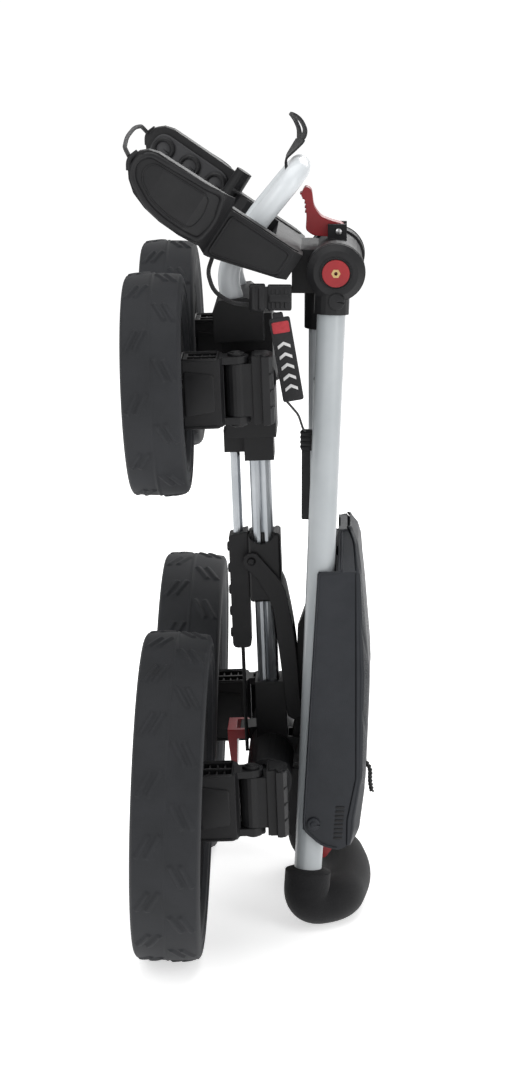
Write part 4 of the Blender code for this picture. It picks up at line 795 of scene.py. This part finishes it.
LID_Z = [0.0848, 0.0905, 0.0985, 0.1350, 0.2450, 0.3430, 0.3610, 0.3735]
LID_FRONT = [0.0920, 0.0955, 0.0990, 0.1035, 0.1075, 0.0990, 0.0955, 0.0890]
LIP_Z = [0.0848, 0.109, 0.1495, 0.343, 0.3622, 0.3735]
LIP_X = [0.0874, 0.0876, 0.0956, 0.0943, 0.0921, 0.0860]


def lid_point(u, v):
    """Lid surface. v runs up, u across: y = half(z) side(u), and x goes from the lip at the
    edges to the front, lip + (front - lip) rise(u), with a chamfer then a slight crown."""
    z = LID_LOW + v * (LID_HIGH - LID_LOW)
    z = np.broadcast_to(z, np.broadcast(u, v).shape)
    lip = np.interp(z, LIP_Z, LIP_X)
    front = np.maximum(np.interp(z, LID_Z, LID_FRONT), lip + 0.0004)
    a = np.abs(u)
    side = np.interp(a, [0, 0.62, 0.86, 0.97, 1.0], [0, 0.62, 0.885, 0.995, 1.0])
    rise = np.interp(a, [0, 0.62, 0.86, 0.97, 1.0], [1.0, 0.985, 0.93, 0.42, 0.0])
    y = np.sign(u) * (console_half(z) + 0.0004) * side
    return np.stack([lip + (front - lip) * rise, y, z], -1)


def sheet_shell(points, thick):
    """Closed shell under a grid of points: each row goes out over the surface and back
    thick below it, in -X."""
    back = points.copy()
    back[..., 0] -= thick
    return np.concatenate([points, back[:, ::-1]], 1)


u = np.sin(np.linspace(-math.pi / 2, math.pi / 2, 81))[None, :]
v = np.linspace(0, 1, 121)[:, None]
lid = sheet_shell(lid_point(u, v), 0.0016)
make("lid_shell", [placed(lid, TROLLEY)], CONSOLE, "lid", ["console_lid"], angle=28)


def lid_panel(corners, lift, density=26):
    """Raised panel on the lid: a bilinear patch of (u, v) corners, lifted along X and rounded
    at its rim by the fourth-power edge (1 - a^8)(1 - b^8)."""
    a = np.linspace(-1, 1, density)[:, None]
    b = np.linspace(-1, 1, density)[None, :]
    weight = [(1 - a) * (1 - b) / 4, (1 + a) * (1 - b) / 4, (1 + a) * (1 + b) / 4,
              (1 - a) * (1 + b) / 4]
    u = sum(w * c[0] for w, c in zip(weight, corners))
    v = sum(w * c[1] for w, c in zip(weight, corners))
    points = lid_point(u, v)
    points[..., 0] += lift * (1 - a ** 8) * (1 - b ** 8)
    out = lift * 0.6 * (1 - a ** 8) * (1 - b ** 8)
    points[..., 1] += np.sign(u) * out
    return sheet_shell(points, 0.0012)


panels = []
for side in (-1, 1):
    for corners in ([(0.88, 0.20), (0.965, 0.20), (0.965, 0.42), (0.88, 0.36)],
                    [(0.88, 0.38), (0.965, 0.44), (0.965, 0.70), (0.88, 0.62)],
                    [(0.88, 0.64), (0.965, 0.72), (0.965, 0.90), (0.88, 0.90)]):
        panels.append(lid_panel([(side * a, b) for a, b in corners], 0.0007))
for a0, a1 in ((-0.55, -0.02), (0.02, 0.55)):
    tilt = 0.10 if a0 < 0 else -0.10
    panels.append(lid_panel([(a0, 0.12), (a1, 0.12 + tilt * 0.4), (a1, 0.40 + tilt * 0.4),
                             (a0, 0.44 + tilt)], 0.0008))
    panels.append(lid_panel([(a0, 0.47 + tilt), (a1, 0.44 + tilt * 0.4), (a1, 0.86), (a0, 0.84)],
                            0.0008))
make("lid_panels", [placed(panel, TROLLEY) for panel in panels], CONSOLE_GRID, "lid",
     angle=28)

twist = np.linspace(0, 1, 120)
line = resampled(rounded([(0.1000, -0.052, 0.156), (0.1085, -0.056, 0.146), (0.1078, -0.055, 0.134),
                          (0.1098, -0.053, 0.122)], [0, 0.006, 0.006, 0], 8, False), 120)
strands = []
for phase in (0, math.pi):
    angle = twist * 2 * math.pi * 5 + phase
    around = np.stack([np.cos(angle), np.sin(angle), 0 * angle], 1)
    strands.append(placed(lobe(line + 0.0013 * around, 0.0011, 10), TROLLEY))
make("lid_cord_end", strands, CORD, "lid", uv=(12, 4))

trim = []
slots = []
for side in (-1, 1):
    def cheek(z, x, out=0.0):
        """Point just outside the tray's cheek at a height."""
        return (x, side * (console_half(z) + out), z)

    edge_line = [cheek(0.3420, leg_axis(0.3420)[0] - 0.0015),
                 cheek(0.100, leg_axis(0.100)[0] - 0.0060),
                 cheek(0.0850, leg_axis(0.10)[0] + 0.0110), cheek(0.0815, 0.0770)]
    trim.append(lobe(resampled(rounded(edge_line, 0.006, 5, False), 60), 0.0014, 10, (0.1, 1, 0)))
    top_line = [cheek(0.3425, leg_axis(0.3425)[0] - 0.0010), cheek(0.3430, 0.0800),
                cheek(0.3700, 0.0800), cheek(0.3705, 0.0850)]
    trim.append(lobe(resampled(rounded(top_line, 0.004, 5, False), 30), 0.0012, 10, (0.1, 1, 0)))
    out = (shift(leg_axis(0.105)[0] + 0.003, side * console_half(0.105), 0.105)
           @ turn(2, side * math.pi / 2))
    trim.append(placed(turned(domed(0.0062, 0.0022), 32), out))
    trim.append(placed(turned(domed(0.0034, 0.0030), 6), out))
    for step in range(8):
        z = 0.0915 + step * 0.0042
        x = 0.0775 + step * 0.0003
        y = side * (console_half(z) + 0.0002)
        slots.append(block((x - 0.0035, y - 0.0006, z - 0.0011),
                           (x + 0.0045, y + 0.0006, z + 0.0011), 0.0004))
make("console_trim", [placed(shell, TROLLEY) for shell in trim], CONSOLE, "handle")
make("console_slots", [placed(shell, TROLLEY) for shell in slots], NYLON, "handle")

# --------------------------------------------------------------- chassis details
bumps = []
for z in (0.2640, 0.2850, 0.3060, 0.3270, 0.3480):
    lay = CHASSIS @ shift(-0.0322, 0, z) @ turn(1, math.pi)
    bumps.append(placed(turned(domed(0.0045, 0.0020), 28), lay))
for side in (-1, 1):
    lay = CHASSIS @ shift(-0.0110, side * 0.0243, 0.3378) @ turn(2, side * math.pi / 2)
    bumps.append(placed(turned(domed(0.0030, 0.0016), 24), lay))
make("slider_details", bumps, NYLON, "slide")

trims = []
for side in (-1, 1):
    out = turn(2, side * math.pi / 2)
    trims.append(placed(turned([(0, 1e-5), (0, 0.0170), (0.0010, 0.0170), (0.0016, 0.0160),
                                (0.0016, 1e-5)], 36), shift(0, side * 0.0655, 0.5190) @ out))
make("socket_faces", [placed(shell, CHASSIS) for shell in trims], NYLON, "chassis")

pivots = []
for side in (-1, 1):
    lay = CHASSIS @ shift(0.030, side * 0.0180, 0.150) @ turn(2, side * math.pi / 2)
    pivots.append(placed(turned(domed(0.0072, 0.0016), 32), lay))
# A thin black disc stands for the hole in the tube: its dark colour is painted shade of the hole's inside.
hole_shade_disc = placed(turned([(0, 1e-5), (0, 0.0030), (0.0004, 0.0030), (0.0004, 1e-5)], 28),
              TROLLEY @ shift(0.0560, -0.01205, 0.5095) @ turn(2, -math.pi / 2))
make("tube_hole", [hole_shade_disc], NYLON, "upright")
make("fold_pin_caps", pivots, NYLON, "chassis")

# ------------------------------------------------------------------------- stage
def backdrop():
    """Wide flat floor."""
    reach = 60.0
    corners = [(-reach, -reach, 0), (reach, -reach, 0), (reach, reach, 0), (-reach, reach, 0)]
    mesh = bpy.data.meshes.new("studio_floor")
    mesh.from_pydata(corners, [], [(0, 1, 2, 3)])
    made = bpy.data.objects.new("studio_floor", mesh)
    bpy.context.scene.collection.objects.link(made)
    look = bpy.data.materials.new("studio_white")
    look.use_nodes = True
    shader = look.node_tree.nodes["Principled BSDF"]
    shader.inputs["Base Color"].default_value = (0.96, 0.96, 0.96, 1)
    shader.inputs["Roughness"].default_value = 0.85
    shader.inputs["Emission Color"].default_value = (1, 1, 1, 1)
    shader.inputs["Emission Strength"].default_value = 0.58
    mesh.materials.append(look)


def softbox(name, place, target, size, power, colour=(1, 1, 1)):
    """Square area light that faces a target."""
    lamp = bpy.data.lights.new(name, "AREA")
    lamp.shape = "RECTANGLE"
    lamp.size, lamp.size_y = size
    lamp.energy = power
    lamp.color = colour
    made = bpy.data.objects.new(name, lamp)
    bpy.context.scene.collection.objects.link(made)
    aim = Vector(target) - Vector(place)
    made.location = place
    made.rotation_euler = aim.to_track_quat("-Z", "Y").to_euler()


backdrop()
softbox("key", (-1.6, -2.0, 1.9), (0, 0, 0.4), (1.4, 1.8), 24)
softbox("fill", (2.0, -1.7, 1.1), (0, 0, 0.4), (1.2, 1.8), 15)
softbox("top", (0.0, 0.0, 2.6), (0, 0, 0), (2.2, 2.2), 30)
softbox("back", (0.8, 2.2, 1.8), (0, 0, 0.4), (1.6, 1.6), 24)

world = bpy.data.worlds.new("studio")
world.use_nodes = True
world.node_tree.nodes["Background"].inputs["Color"].default_value = (1, 1, 1, 1)
world.node_tree.nodes["Background"].inputs["Strength"].default_value = 0.48
bpy.context.scene.world = world

lens = bpy.data.cameras.new("camera")
lens.sensor_width = 36
lens.lens = 97.68
lens.clip_end = 200
camera = bpy.data.objects.new("camera", lens)
camera.location = (0.08853, -2.7283, 0.9776)
camera.rotation_euler = (math.radians(76.9967), 0, math.radians(1.5974))
bpy.context.scene.collection.objects.link(camera)
bpy.context.scene.camera = camera
bpy.context.scene.view_settings.view_transform = "Standard"
